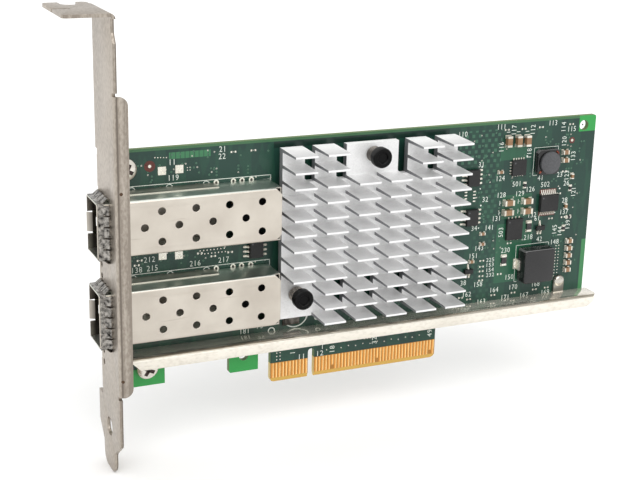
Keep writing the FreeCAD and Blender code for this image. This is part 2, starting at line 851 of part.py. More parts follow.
def spring_collar(port_z):
    """Wrap a sprung band round the cage's nose, with fingers that flare on to the bracket."""
    x0 = mouth_x + collar_from_mouth
    x1 = x0 + collar_band
    y_mid = -cage_high / 2
    outer = ring_of(y_mid, port_z, cage_high + 2 * collar_sheet, cage_width + 2 * collar_sheet, 0)
    inner = ring_of(y_mid, port_z, cage_high, cage_width, 0)
    band = prism(outer, at_yz(x0), along_x(collar_band))
    band = band.cut(prism(inner, at_yz(x0 - cut_over), along_x(collar_band + 2 * cut_over)))
    tip_x = bracket_face_x
    crest_x = tip_x - finger_crest
    profile = [
        (x1 - finger_root, 0), (crest_x, finger_flare - collar_sheet),
        (tip_x, finger_flare - collar_sheet), (tip_x, finger_flare), (crest_x, finger_flare),
        (x1 - finger_root, collar_sheet),
    ]
    fingers = []
    for side in (-1, 1):
        pitch = cage_width / long_side_finger_count
        edge = y_mid + side * cage_high / 2
        corners = [(x, edge + side * off, 0) for x, off in profile]
        for i in range(long_side_finger_count):
            middle = port_z + pitch * (i - (long_side_finger_count - 1) / 2)
            if side > 0 and abs(middle - port_z) < latch_half:
                continue
            low = middle - (pitch - finger_slot) / 2
            fingers.append(prism(corners, at_xy(low), along_z(pitch - finger_slot)))
        pitch = cage_high / short_side_finger_count
        edge = port_z + side * cage_width / 2
        corners = [(x, edge + side * off, 0) for x, off in profile]
        for i in range(short_side_finger_count):
            middle = y_mid + pitch * (i - (short_side_finger_count - 1) / 2)
            low = middle - (pitch - finger_slot) / 2
            fingers.append(prism(corners, at_xz(low), along_y(pitch - finger_slot)))
    gap_half = latch_half + latch_slit
    latch_gap = block(x0 - cut_over, x1 + cut_over, 0, collar_sheet + cut_over,
                      port_z - gap_half, port_z + gap_half)
    return joined(band.cut(latch_gap), fingers)


def host_connector(port_z):
    """Mould the card-edge connector that stands at the cage's far end."""
    low = port_z - host_wide / 2
    profile = [
        (host_left_x, 0, 0), (host_left_x, -host_high + host_nose_drop, 0),
        (host_left_x + host_nose_long, -host_high, 0),
        (host_right_x, -host_high, host_corner_r), (host_right_x, 0, 0),
    ]
    body = prism(profile, at_xy(low), along_z(host_wide))
    slot = block(host_left_x - cut_over, host_left_x + host_slot_deep,
                 -host_slot_y - host_slot_high / 2, -host_slot_y + host_slot_high / 2,
                 port_z - host_slot_wide / 2, port_z + host_slot_wide / 2)
    return body.cut(slot)


# ---------------------------------------------------------------- controller and heat sink
def controller_chip():
    """Stack the controller's substrate and its smaller lid."""
    half = chip_size / 2
    substrate = block(chip_x - half, chip_x + half, -chip_substrate, 0, chip_z - half, chip_z + half)
    corners = ring_of(chip_x, chip_z, chip_lid_size, chip_lid_size, 0)
    lid = prism(corners, at_xz(-chip_high), along_y(chip_high - chip_substrate))
    return joined(substrate, [lid])


def thermal_pad():
    """Lay the pad between lid and heat sink."""
    half = chip_lid_size / 2 - pad_inset
    return block(chip_x - half, chip_x + half, sink_back_y, -chip_high, chip_z - half, chip_z + half)


def fin_z(row):
    """Return the root's upper edge of a fin row, counted from the top."""
    return sink_top_z - fin_pitch_z * row


def heat_sink():
    """Extrude the finned section, then saw the cross cuts, lands and through slots."""
    tip_y = sink_front_y - fin_high
    shave = (fin_root - fin_tip) / 2
    section = [(sink_back_y, sink_bottom_z, 0), (sink_back_y, sink_top_z, 0)]
    for row in range(fin_row_count):
        high = fin_z(row)
        section += [
            (sink_front_y, high, 0), (tip_y, high - shave, 0),
            (tip_y, high - shave - fin_tip, 0), (sink_front_y, high - fin_root, 0),
        ]
    comb = prism(section, at_yz(sink_left_x), along_x(sink_right_x - sink_left_x))
    cuts = []
    front = tip_y - cut_over
    below = sink_bottom_z - cut_over
    above = sink_top_z + cut_over
    gap = fin_pitch_x - fin_long
    top_cut_z = fin_z(through_top_count) - through_over
    bottom_cut_z = fin_z(fin_row_count - 1 - through_bottom_count) + through_over
    for column in range(fin_column_count - 1):
        x0 = sink_left_x + fin_pitch_x * column + fin_long
        x1 = x0 + gap
        cuts.append(block(x0, x1, front, sink_front_y, below, above))
        if column != land_top_column:
            cuts.append(block(x0, x1, front, sink_back_y + cut_over, top_cut_z, above))
        if column != 0:
            cuts.append(block(x0, x1, front, sink_back_y + cut_over, below, bottom_cut_z))
    land_x0 = sink_left_x + fin_pitch_x * land_top_column - seat_gap
    land_x1 = land_x0 + fin_pitch_x + fin_long + 2 * seat_gap
    land_z = fin_z(land_top_count) + land_over
    cuts.append(block(land_x0, land_x1, front, sink_front_y, land_z, above))
    foot_x1 = sink_left_x + fin_long + seat_gap
    foot_z = fin_z(fin_row_count - land_bottom_count) + land_over
    cuts.append(block(sink_left_x - cut_over, foot_x1, front, sink_front_y, below, foot_z))
    cuts += [fitted_hole(x, z, pin_hole_r, pin_sides, sink_front_y - cut_over, 0)
             for x, z in pins]
    return comb.cut(cuts)


def push_pin(place):
    """Turn a nylon push pin: recessed cap, shank and split barbed tip behind the board."""
    x, z = place
    cap_front = cap_back_y - pin_cap_high
    catch = board_thick + seat_gap
    tip = catch + pin_barb_long
    profile = [
        (pin_cap_r - pin_cap_chamfer, cap_front),
        (pin_cap_r, cap_front + pin_cap_chamfer),
        (pin_cap_r, cap_back_y),
        (pin_shank_r, cap_back_y),
        (pin_shank_r, catch),
        (pin_barb_r, catch),
        (pin_barb_r, catch + pin_barb_edge),
        (pin_barb_tip_r, tip),
    ]
    body = turned_y(x, z, profile, pin_sides)
    recess = fitted_hole(x, z, pin_recess_r, pin_sides, cap_front - cut_over,
                         cap_front + pin_recess_deep)
    half = pin_barb_r + cut_over
    split = block(x - pin_slot / 2, x + pin_slot / 2, 0, tip + cut_over, z - half, z + half)
    return body.cut([recess, split])


def pin_spring(place):
    """Coil the spring that stands between heat sink and cap, in short straight runs."""
    x, z = place
    rise = spring_high - 2 * (spring_wire_r + seat_gap)
    steps = spring_turn_count * spring_step_count
    start_y = sink_front_y - spring_wire_r - seat_gap
    path = []
    for i in range(steps + 1):
        turn = 2 * math.pi * i / spring_step_count
        path.append(Vector(x + spring_coil_r * math.cos(turn), start_y - rise * i / steps,
                           z + spring_coil_r * math.sin(turn)))
    sides = spring_side_count
    first_run = (path[1] - path[0]).normalize()
    out = Vector(1, 0, 0)
    across = first_run.cross(out).normalize()
    out = across.cross(first_run)
    ring = [path[0] + out * spring_wire_r * math.cos(2 * math.pi * k / sides)
            + across * spring_wire_r * math.sin(2 * math.pi * k / sides) for k in range(sides)]
    section = Part.makePolygon(ring + ring[:1])
    sweep = Part.BRepOffsetAPI.MakePipeShell(Part.makePolygon(path))
    sweep.setFrenetMode(True)
    sweep.setTransitionMode(1)
    sweep.add(section)
    sweep.build()
    sweep.makeSolid()
    return sweep.shape()


# ---------------------------------------------------------------- stiffener rail
def rivet_places():
    """List (x, z) of the rail's rivets: the one in the ear and the one in the wall."""
    ear_z = rail_ear_top_z - rail_ear_r
    wall_z = rail_top_z - (rail_wall_high + rail_sheet) / 2
    return [(rail_ear_x, ear_z), (board_left_x + rail_rivet_from_end, wall_z)]


def stiffener_rail():
    """Bend the rail: wall on the board, top flange, front lip and one ear."""
    lip = -rail_reach
    outer_r = rail_bend_r + rail_sheet
    low = rail_top_z - rail_lip_high
    channel = [
        (0, rail_under_z, 0), (0, rail_top_z, 0), (lip, rail_top_z, outer_r), (lip, low, 0),
        (lip + rail_sheet, low, 0), (lip + rail_sheet, rail_under_z, rail_bend_r),
    ]
    body = prism(channel, at_yz(rail_left_x), along_x(rail_right_x - rail_left_x))
    wall = block(board_left_x + rail_wall_from_end, board_right_x - rail_wall_from_far_end,
                 -rail_sheet, 0, rail_top_z - rail_wall_high, rail_top_z)
    left = rail_ear_x - rail_ear_r
    right = rail_ear_x + rail_ear_r
    upright = [
        (left, rail_under_z, 0), (left, rail_ear_top_z, rail_ear_r * near_full),
        (right, rail_ear_top_z, rail_ear_r * near_full), (right, rail_under_z, 0),
    ]
    ear_plate = prism(upright, at_xz(-rail_sheet), along_y(rail_sheet))
    body = joined(body, [wall, ear_plate])
    plan = [
        (rail_left_x, lip, 0), (rail_right_x, lip, rail_corner_r),
        (rail_right_x, 0, rail_end_r), (rail_left_x, 0, 0),
    ]
    body = body.common(prism(plan, at_xy(0), along_z(rail_ear_top_z + cut_over)))
    past = rail_left_x - cut_over
    left_cut = [
        (past, low - cut_over, 0), (past, rail_top_z - outer_r, 0),
        (rail_left_x, rail_top_z - outer_r, 0), (rail_left_x + rail_left_cut, low, 0),
        (rail_left_x + rail_left_cut, low - cut_over, 0),
    ]
    past = rail_right_x + cut_over
    start = rail_right_x - rail_right_cut
    right_cut = [
        (past, low - cut_over, 0), (start, low - cut_over, 0), (start, low, 0),
        (past, rail_top_z - rail_sheet / 2, 0),
    ]
    cuts = [prism(c, at_xz(lip), along_y(outer_r)) for c in (left_cut, right_cut)]
    cuts += [fitted_hole(x, z, rivet_r + seat_gap, rivet_sides, -rail_sheet - cut_over, cut_over)
             for x, z in rivet_places()]
    return body.cut(cuts)


def rail_rivet(place):
    """Turn a dome-headed rivet through rail and board, closed behind."""
    x, z = place
    front = -rail_sheet
    profile = [
        (rivet_flat_r, front - rivet_head_high),
        (rivet_head_r, front - rivet_head_edge),
        (rivet_head_r, front),
        (rivet_r, front),
        (rivet_r, board_thick),
        (rivet_head_r, board_thick),
        (rivet_flat_r, board_thick + rivet_head_high),
    ]
    return turned_y(x, z, profile, rivet_sides)


# ---------------------------------------------------------------- mounted components
def chip_body(place, body, slope):
    """Mould a package that is widest at its parting line and leans in above and below."""
    x, z = place
    wide, high, thick = body
    rings = []
    steps = ((-thick * package_lift, slope), (-thick * package_part, 0), (-thick, slope))
    for y, inset in steps:
        ring = ring_of(x, z, wide - 2 * inset, high - 2 * inset, 0)
        rings.append(outline(ring, at_xz(y)))
    lower = Part.makeLoft(rings[:2], True, True)
    return joined(lower, [Part.makeLoft(rings[1:], True, True)])


def lead(thick):
    """List a gull-wing lead's profile as (distance out of the body, y)."""
    y = -thick * package_part
    foot = lead_reach / 2
    half = lead_thick / 2
    return [
        (0, y + half), (foot, 0), (lead_reach, 0),
        (lead_reach, -lead_thick), (foot + lead_thick, -lead_thick), (0, y - half),
    ]


def leads_x(place, body, pitch, count, width):
    """Stand gull-wing leads along both X sides of a package."""
    x, z = place
    made = []
    for side in (-1, 1):
        corners = [(x + side * (body[0] / 2 + out), y, 0) for out, y in lead(body[2])]
        for i in range(count):
            low = z + pitch * (i - (count - 1) / 2) - width / 2
            made.append(prism(corners, at_xy(low), along_z(width)))
    return made


def leads_z(place, body, pitch, counts, width):
    """Stand gull-wing leads along both Z sides of a package; counts gives below, above."""
    x, z = place
    made = []
    for side, count in zip((-1, 1), counts):
        corners = [(y, z + side * (body[1] / 2 + out), 0) for out, y in lead(body[2])]
        for i in range(count):
            left = x + pitch * (i - (count - 1) / 2) - width / 2
            made.append(prism(corners, at_yz(left), along_x(width)))
    return made


def chip_core(size, place):
    """Make the middle of a chip capacitor or resistor, between its end caps."""
    long, wide, high = size
    x, z, upright = place
    core = long * (1 - 2 * end_cap_share)
    side = wide - 2 * end_cap_proud
    half_x, half_z = (side / 2, core / 2) if upright else (core / 2, side / 2)
    return block(x - half_x, x + half_x, -high + end_cap_proud, -end_cap_proud,
                 z - half_z, z + half_z)


def chip_ends(size, place):
    """Make the two metal end caps of a chip capacitor or resistor."""
    long, wide, high = size
    x, z, upright = place
    cap = long * end_cap_share
    ends = []
    for side in (-1, 1):
        a, b = sorted((side * (long / 2 - cap), side * long / 2))
        if upright:
            ends.append(block(x - wide / 2, x + wide / 2, -high, 0, z + a, z + b))
        else:
            ends.append(block(x + a, x + b, -high, 0, z - wide / 2, z + wide / 2))
    return ends


def power_inductor(place):
    """Press the large inductor's square body with rounded upright corners."""
    x, z = place
    return prism(ring_of(x, z, inductor_size, inductor_size, inductor_corner),
                 at_xz(-inductor_high), along_y(inductor_high - terminal_sheet))


def inductor_terminals(place):
    """Bend the two clips that come round the large inductor's sides."""
    x, z = place
    half = inductor_size / 2
    clips = []
    for side in (-1, 1):
        edge = x + side * (half + seat_gap)
        outer = edge + side * terminal_sheet
        under = edge - side * terminal_under
        section = [
            (under, 0, 0), (outer, 0, 0), (outer, -terminal_high, 0),
            (edge, -terminal_high, 0), (edge, -terminal_sheet, 0), (under, -terminal_sheet, 0),
        ]
        clips.append(prism(section, at_xy(z - terminal_wide / 2), along_z(terminal_wide)))
    return clips


def drum_inductor(place):
    """Make the drum inductor: an octagonal base with a flanged drum on it."""
    x, z = place
    half = drum_base / 2
    cut = half - drum_base_corner
    ring = ((-half, -cut), (-cut, -half), (cut, -half), (half, -cut),
            (half, cut), (cut, half), (-cut, half), (-half, cut))
    base = prism([(x + u, z + v, 0) for u, v in ring], at_xz(-drum_base_high),
                 along_y(drum_base_high))
    neck_r = drum_r - drum_neck_inset
    drum = turned_y(x, z, [
        (drum_r - drum_chamfer, -drum_high), (drum_r, -drum_high + drum_chamfer),
        (drum_r, -drum_high + drum_flange), (neck_r, -drum_high + drum_flange),
        (neck_r, -drum_base_high)], drum_sides)
    return joined(base, [drum])


def crystal():
    """Make the crystal: a metal lid on a ceramic tray."""
    x = sink_left_x + crystal_in
    z = sink_bottom_z - crystal_below
    wide, high, thick = crystal_body
    tray = prism(ring_of(x, z, wide, high, 0), at_xz(-crystal_tray), along_y(crystal_tray))
    lid = prism(ring_of(x, z, wide - crystal_rim, high - crystal_rim, 0),
                at_xz(-thick), along_y(thick - crystal_tray))
    return joined(tray, [lid])


def lamp(z):
    """Make a side-looking lamp whose lens faces its hole in the bracket."""
    long, high, thick = lamp_body
    x0 = board_left_x + lamp_from_board_end
    body = block(x0, x0 + long, -thick, 0, z - high / 2, z + high / 2)
    lens = prism(many_sided(lamp_y, z, lamp_lens_r, lamp_sides), at_yz(x0 - lamp_lens_long),
                 along_x(lamp_lens_long))
    return joined(body, [lens])


def from_far_end(places):
    """Turn distances from the board's far end into x, with the rest of each place kept."""
    return [(board_right_x - place[0],) + tuple(place[1:]) for place in places]


# ---------------------------------------------------------------- the card
def save_packages():
    """Build the leaded and leadless packages, with all their leads as one group."""
    port_chip = (cage_rear_x - port_chip_from_cage, (port_upper_z + port_lower_z) / 2)
    memory = from_far_end(memory_at) + [port_chip]
    driver = from_far_end([driver_at])[0]
    transistors = from_far_end(transistor_at)
    save("memory_chips", [chip_body(p, memory_body, package_slope) for p in memory])
    save("driver_chip", chip_body(driver, driver_body, package_slope))
    save("small_transistors", [chip_body(p, transistor_body, package_slope) for p in transistors])
    save("regulator_chip", chip_body(from_far_end([regulator_at])[0], regulator_body, seat_gap))
    save("power_switch", chip_body(from_far_end([switch_at])[0], switch_body, seat_gap))
    leads = []
    for place in memory:
        leads += leads_x(place, memory_body, memory_lead_pitch, memory_lead_count, lead_wide)
    for place in transistors:
        leads += leads_z(place, transistor_body, transistor_lead_pitch, (2, 1), lead_wide)
    counts = (driver_lead_count, driver_lead_count)
    leads += leads_z(driver, driver_body, driver_lead_pitch, counts, driver_lead_wide)
    save("package_leads", leads)


def save_chip_components():
    """Build capacitors and resistors, with all their end caps as one group."""
    column = [(cap_column_from_end, cap_column_z - cap_column_pitch * i, False)
              for i in range(cap_column_count)]
    groups = {
        "large_capacitors": [(large_cap, large_caps)],
        "medium_capacitors": [(medium_cap, tuple(column) + medium_caps)],
        "small_capacitors": [(small_cap, small_caps)],
        "chip_resistors": [(large_resistor, large_resistors), (small_resistor, small_resistors)],
    }
    ends = []
    for name, kinds in groups.items():
        cores = []
        for size, places in kinds:
            for place in from_far_end(places):
                cores.append(chip_core(size, place))
                ends += chip_ends(size, place)
        save(name, cores)
    save("component_end_caps", ends)


def main():
    """Build every sub-part and write it out."""
    save("printed_circuit_board", board())
    save("edge_contacts_front", edge_contacts(0, -1, presence_contacts))
    save("edge_contacts_back", edge_contacts(board_thick, 1, (1,)))
    save("bracket", bracket())
    save("bracket_screws", [bracket_screw(s) for s in screws])
    for name, port_z in ports.items():
        save("cage_shell_%s" % name, cage_shell(port_z))
        save("cage_base_%s" % name, cage_base(port_z))
        save("spring_collar_%s" % name, spring_collar(port_z))
        save("host_connector_%s" % name, host_connector(port_z))
    save("heat_sink", heat_sink())
    save("thermal_pad", thermal_pad())
    save("controller_chip", controller_chip())
    save("push_pins", [push_pin(p) for p in pins])
    save("pin_springs", [pin_spring(p) for p in pins])
    save("stiffener_rail", stiffener_rail())
    save("rail_rivets", [rail_rivet(p) for p in rivet_places()])
    inductor = from_far_end([inductor_at])[0]
    save("power_inductor", power_inductor(inductor))
    save("inductor_terminals", inductor_terminals(inductor))
    save("drum_inductor", drum_inductor(from_far_end([drum_at])[0]))
    save_packages()
    save_chip_components()
    save("crystal", crystal())
    save("status_lamps", [lamp(z) for z in lamp_heights()])


main()
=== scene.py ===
"""Dress the network interface card for a plain studio picture.

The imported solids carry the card's shape. Here each of them gets a worked finish, the pieces whose
edges catch the light have them eased, the small turned parts are made smooth, and what is too
fine for the solids is added: solder, pads, vias, printed numerals, windings and contacts.

The scene is in metres, in the card's own frame: +X from the bracket to the board's far end, -Y
out of the component face, +Z up. Every size and place in this script is in millimetres, as on a
drawing, and is made metres where a shape or a material takes it.
"""

import json
import logging
import math
import random
from dataclasses import dataclass
from enum import Enum
from functools import reduce
from typing import Iterable, Optional, Sequence, Union

import bmesh
import bpy
from mathutils import Matrix, Vector


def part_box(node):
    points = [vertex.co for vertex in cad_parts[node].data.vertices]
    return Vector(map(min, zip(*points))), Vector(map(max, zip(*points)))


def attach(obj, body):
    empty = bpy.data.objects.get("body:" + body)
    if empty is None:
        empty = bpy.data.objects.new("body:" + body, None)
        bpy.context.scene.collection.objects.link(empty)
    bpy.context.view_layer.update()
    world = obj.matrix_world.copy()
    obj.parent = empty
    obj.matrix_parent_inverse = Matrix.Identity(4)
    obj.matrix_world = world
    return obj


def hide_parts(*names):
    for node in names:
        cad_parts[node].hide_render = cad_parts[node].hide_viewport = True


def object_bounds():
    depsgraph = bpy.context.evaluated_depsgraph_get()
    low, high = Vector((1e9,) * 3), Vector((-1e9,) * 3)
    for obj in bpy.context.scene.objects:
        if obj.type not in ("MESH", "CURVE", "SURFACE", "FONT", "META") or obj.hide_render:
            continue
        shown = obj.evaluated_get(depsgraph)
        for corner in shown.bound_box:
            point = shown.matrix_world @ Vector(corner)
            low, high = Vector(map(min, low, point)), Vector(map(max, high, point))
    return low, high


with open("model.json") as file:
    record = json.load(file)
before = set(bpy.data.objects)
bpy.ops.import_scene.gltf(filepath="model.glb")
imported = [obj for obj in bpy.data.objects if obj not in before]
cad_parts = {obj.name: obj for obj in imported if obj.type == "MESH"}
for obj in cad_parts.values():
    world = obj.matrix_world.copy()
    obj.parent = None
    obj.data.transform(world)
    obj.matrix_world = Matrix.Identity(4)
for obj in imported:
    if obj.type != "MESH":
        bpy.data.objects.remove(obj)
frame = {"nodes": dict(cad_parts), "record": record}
cad_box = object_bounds()

LOG = logging.getLogger("network_card")
MM = 0.001
FAR = 1000.0        # further out than any edge of the card
FACING = 0.7        # a normal's part along an axis, past which a face looks that way
QUARTER = math.pi / 2
Colour = tuple[int, int, int]
Span = tuple[float, float]
Triple = tuple[float, float, float]
Zone = tuple[float, float, float, float]
Row = tuple[int, Span, Span]
Socket = bpy.types.NodeSocket
Feed = Union[Socket, float, Sequence[float]]
Shape = bmesh.types.BMesh
Box = tuple[Vector, Vector]


# ------------------------------------------------------------------ material graphs
def tone(colour: Colour) -> tuple[float, float, float, float]:
    """Turn a display colour, each part from 0 to 255, into a shader's linear, opaque colour."""
    shares = [value / 255 for value in colour]
    linear = [s / 12.92 if s <= 0.04045 else ((s + 0.055) / 1.055) ** 2.4 for s in shares]
    return (linear[0], linear[1], linear[2], 1.0)


class Graph:
    """The node graph of one material, laid out round a Principled shader."""

    def __init__(self, name: str) -> None:
        """Start an empty material with its shader joined to the output."""
        self.material = bpy.data.materials.new(name)
        self.material.use_nodes = True
        self.tree = self.material.node_tree
        self.tree.nodes.clear()
        self.shader = self.node("BsdfPrincipled")
        self.node("OutputMaterial", Surface=self.shader.outputs["BSDF"])
        self.place = self.node("TexCoord").outputs["Object"]
        self.normal = self.node("NewGeometry").outputs["True Normal"]

    def join(self, source: Feed, target: Socket) -> None:
        """Feed a socket from another one, or set it to a value, a display colour made linear."""
        if isinstance(source, bpy.types.NodeSocket):
            self.tree.links.new(source, target)
        elif target.type == "RGBA" and len(source) == 3:
            target.default_value = tone(source)
        else:
            target.default_value = source

    def node(self, kind: str, **feeds: Feed) -> bpy.types.Node:
        """Add a node, its inputs fed by name with underscores for spaces."""
        node = self.tree.nodes.new("ShaderNode" + kind)
        for name, feed in feeds.items():
            self.join(feed, node.inputs[name.replace("_", " ")])
        return node

    def noise(self, scale: float, detail: float = 3.0, stretch: Triple = (1, 1, 1)) -> Socket:
        """Return soft noise of about scale lumps a metre, drawn out by stretch."""
        mapping = self.node("Mapping", Scale=stretch, Vector=self.place)
        return self.node("TexNoise", Scale=scale, Detail=detail,
                         Vector=mapping.outputs["Vector"]).outputs[0]

    def math(self, kind: str, *feeds: Feed) -> Socket:
        """Return one arithmetic step on one or two feeds."""
        node = self.node("Math")
        node.operation = kind
        for feed, target in zip(feeds, node.inputs):
            self.join(feed, target)
        return node.outputs[0]

    def fold(self, kind: str, feeds: Sequence[Feed]) -> Socket:
        """Return several feeds worked together by one kind of arithmetic."""
        return reduce(lambda one, other: self.math(kind, one, other), feeds)

    def plus(self, *feeds: Feed) -> Socket:
        """Return the sum of several feeds."""
        return self.fold("ADD", feeds)

    def times(self, *feeds: Feed) -> Socket:
        """Return the product of several feeds."""
        return self.fold("MULTIPLY", feeds)

    def either(self, *feeds: Feed) -> Socket:
        """Return the largest of several feeds."""
        return self.fold("MAXIMUM", feeds)

    def over(self, source: Socket, limit: float) -> Socket:
        """Return 1 where a feed is over a limit, and 0 elsewhere."""
        return self.math("GREATER_THAN", source, limit)

    def between(self, source: Socket, low: float, high: float) -> Socket:
        """Return 1 where a feed lies between two limits, and 0 elsewhere."""
        return self.times(self.over(source, low), self.math("LESS_THAN", source, high))

    def spread(self, source: Socket, low: float, high: float,
               start: float = 0.0, end: float = 1.0) -> Socket:
        """Return a feed's stretch from start to end, moved to run from low to high."""
        return self.node("MapRange", Value=source, From_Min=start, From_Max=end, To_Min=low,
                         To_Max=high).outputs["Result"]

    def blend(self, factor: Feed, first: Feed, second: Feed) -> Socket:
        """Return two colours mixed by a factor."""
        node = self.node("Mix")
        node.data_type = "RGBA"
        for feed, place in ((factor, 0), (first, 6), (second, 7)):
            self.join(feed, node.inputs[place])
        return node.outputs[2]

    def axis(self, name: str) -> Socket:
        """Return one part, X, Y or Z, of the object's coordinates."""
        return self.node("SeparateXYZ", Vector=self.place).outputs[name]

    def facing(self, name: str, either_way: bool = True) -> Socket:
        """Return one part, X, Y or Z, of the surface's normal, unsigned if either way will do."""
        part = self.node("SeparateXYZ", Vector=self.normal).outputs[name]
        return self.math("ABSOLUTE", part) if either_way else part

    def within(self, name: str, low: float, high: float) -> Socket:
        """Return 1 where a coordinate lies between two places, and 0 elsewhere."""
        return self.between(self.axis(name), low * MM, high * MM)

    def inside(self, zone: Zone) -> Socket:
        """Return 1 inside a rectangle of X and Z on the board's faces, and 0 elsewhere."""
        return self.times(self.within("X", *zone[:2]), self.within("Z", *zone[2:]))

    def beat(self, source: Socket, pitch: float, share: float) -> Socket:
        """Return 1 over the middle share of every pitch along a feed, and 0 between."""
        phase = self.math("FLOORED_MODULO", self.math("DIVIDE", source, pitch * MM), 1.0)
        away = self.math("ABSOLUTE", self.math("SUBTRACT", phase, 0.5))
        return self.math("LESS_THAN", away, share / 2)

    def dent(self, height: Socket, strength: float, depth: float) -> None:
        """Dent the surface by a height feed, to a depth in millimetres."""
        bump = self.node("Bump", Strength=strength, Distance=depth * MM, Height=height)
        self.finish(Normal=bump.outputs["Normal"])

    def finish(self, **feeds: Feed) -> None:
        """Feed the shader's inputs by name, with underscores for spaces."""
        for name, feed in feeds.items():
            self.join(feed, self.shader.inputs[name.replace("_", " ")])


# ------------------------------------------------------------------ finishes
@dataclass(frozen=True)
class Finish:
    """How a surface looks; each kind paints the graph of its own material."""

    name: str

    def paint(self, graph: Graph) -> None:
        """Lay the finish out in a material's graph."""
        raise NotImplementedError

    def make(self) -> bpy.types.Material:
        """Return the finish's material."""
        graph = Graph(self.name)
        self.paint(graph)
        return graph.material


@dataclass(frozen=True)
class Metal(Finish):
    """A metal surface: its tint, the tint it dulls to, and how it was worked."""

    tint: Colour
    dull: Colour
    rough: Span = (0.25, 0.4)
    grain: float = 700.0
    stretch: Triple = (1, 1, 1)
    dent: float = 0.04
    marks: float = 0.0
    metallic: float = 1.0
    stain: Span = (90.0, 5.0)
    roof: Optional[Colour] = None

    def paint(self, graph: Graph) -> None:
        """Lay broad stains, worked grain, a few fine scratches and, with a top highlight colour, a
        painted highlight on the upward faces.
        """
        # stain noise mixes in the dull tone: stains on most metals, painted shade on the collar.
        stain = graph.noise(*self.stain)
        grain = graph.noise(self.grain, 4, self.stretch)
        colour = graph.blend(graph.spread(stain, 0, 1, 0.35, 0.7), self.tint, self.dull)
        # Painted highlight: upward faces take a paler colour.
        if self.roof:
            colour = graph.blend(graph.over(graph.facing("Z", False), FACING), colour, self.roof)
        rough = graph.plus(graph.spread(grain, *self.rough), graph.spread(stain, -0.04, 0.05))
        if self.marks > 0:
            scratch = graph.spread(graph.noise(500, 2, (0.12, 1, 2.2)), 0, self.marks, 0.68, 0.74)
            rough = graph.plus(rough, scratch)
            colour = graph.blend(scratch, colour, self.dull)
        graph.finish(Base_Color=colour, Roughness=rough, Metallic=self.metallic)
        graph.dent(grain, self.dent, 0.2)


@dataclass(frozen=True)
class SawnAluminium(Finish):
    """Extruded aluminium whose fins were sawn, with light and shade painted by facing: bright front
    faces, grey broad faces lighter towards the root, dark end faces.
    """

    # Painted light and shade: front faces bright, broad faces grey and painted lighter towards the
    # root, end faces dark.
    front: Colour = (240, 240, 240)
    broad: Colour = (202, 202, 202)
    root: Colour = (252, 252, 252)
    ends: Colour = (132, 133, 136)
    grit: Colour = (150, 151, 154)
    fin_long: float = 8.8
    rough: Span = (0.36, 0.5)
    metallic: float = 0.25

    def paint(self, graph: Graph) -> None:
        """Lay die lines along the fins, a satin grain, worn grit, and the painted light and shade
        of each facing.
        """
        lines = graph.noise(1600, 4, (0.05, 1, 1))
        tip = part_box("heat_sink")[0].y
        # Painted light: the broad faces lighten from the fin tips towards the root.
        depth = graph.spread(graph.axis("Y"), 0, 1, tip, tip + self.fin_long * MM)
        colour = graph.blend(graph.over(graph.facing("Z"), FACING), self.front,
                             graph.blend(depth, self.broad, self.root))
        # Painted shade: the end faces are darkened.
        colour = graph.blend(graph.over(graph.facing("X"), FACING), colour, self.ends)
        worn = graph.plus(graph.spread(graph.noise(2600, 2), 0, 0.14, 0.4, 0.75),
                          graph.spread(graph.noise(140, 4), 0, 0.12, 0.4, 0.7))
        graph.finish(Base_Color=graph.blend(worn, colour, self.grit),
                     Roughness=graph.spread(lines, *self.rough), Metallic=self.metallic)
        graph.dent(lines, 0.06, 0.2)


@dataclass(frozen=True)
class RailPlate(Finish):
    """Bright plate on the rail: like a dull mirror on its ledge, satin on its lip."""

    tint: Colour = (242, 237, 226)
    dull: Colour = (204, 197, 184)
    # Painted dark reflection laid over the rivet ears, above ear_from.
    ear: Colour = (116, 114, 106)
    ear_from: float = 15.6
    # The ledge carries painted dark reflection streaks up to this Y.
    streaked: float = -4.6
    foot: Colour = (176, 168, 152)
    foot_z: Span = (10.7, 13.5)
    # Painted shade at the bend, also the colour of the ledge's painted reflection streaks.
    fold: Colour = (120, 112, 96)
    bend: Span = (0.45, 0.96)       # how far up a face looks where the sheet bends
    ledge: Span = (0.08, 0.24)
    lip: Span = (0.26, 0.42)
    metallic: float = 0.74

    def paint(self, graph: Graph) -> None:
        """Lay the plating, speckled by handling and slightly wavy, with painted shade at the bend,
        painted dark reflection streaks on the ledge and over the rivet ears, and streaks darker
        towards the lip's bottom.
        """
        wave = graph.noise(170, 3, (0.35, 1, 1))
        speck = graph.noise(1500, 3, (0.5, 1, 1))
        cloud = graph.noise(110, 4, (0.4, 1, 1))
        streak = graph.noise(900, 4, (0.12, 1, 1))
        rise = graph.facing("Z", False)
        upward = graph.over(rise, FACING)
        upright = graph.math("SUBTRACT", 1.0, upward)
        worn = graph.plus(graph.spread(speck, 0, 0.4, 0.46, 0.72),
                          graph.spread(cloud, 0, 0.45, 0.42, 0.7))
        colour = graph.blend(worn, self.tint, self.dull)
        ledge = graph.times(upward, graph.within("Y", -FAR, self.streaked))
        low = graph.times(upright, graph.spread(graph.axis("Z"), 0.3, 0,
                                                *(z * MM for z in self.foot_z)))
        # Painted shade at the bend, painted dark reflection on the ledge and the rivet ears, and
        # streaks darker towards the lip's bottom.
        for share, shade in (
                (graph.times(graph.between(rise, *self.bend), 0.7), self.fold),
                (graph.times(ledge, graph.spread(streak, 0, 0.7, 0.45, 0.6)), self.fold),
                (graph.times(low, graph.spread(streak, 0.4, 1.0, 0.4, 0.6)), self.foot),
                (graph.times(graph.within("Z", self.ear_from, FAR),
                             graph.spread(wave, 0.5, 1.0, 0.4, 0.6)), self.ear)):
            colour = graph.blend(share, colour, shade)
        rough = graph.plus(graph.times(upward, graph.spread(cloud, *self.ledge, 0.35, 0.65)),
                           graph.times(upright, graph.spread(speck, *self.lip)))
        graph.finish(Base_Color=colour, Roughness=rough, Metallic=self.metallic)
        graph.dent(graph.plus(wave, graph.times(speck, 0.08)), 0.35, 0.6)


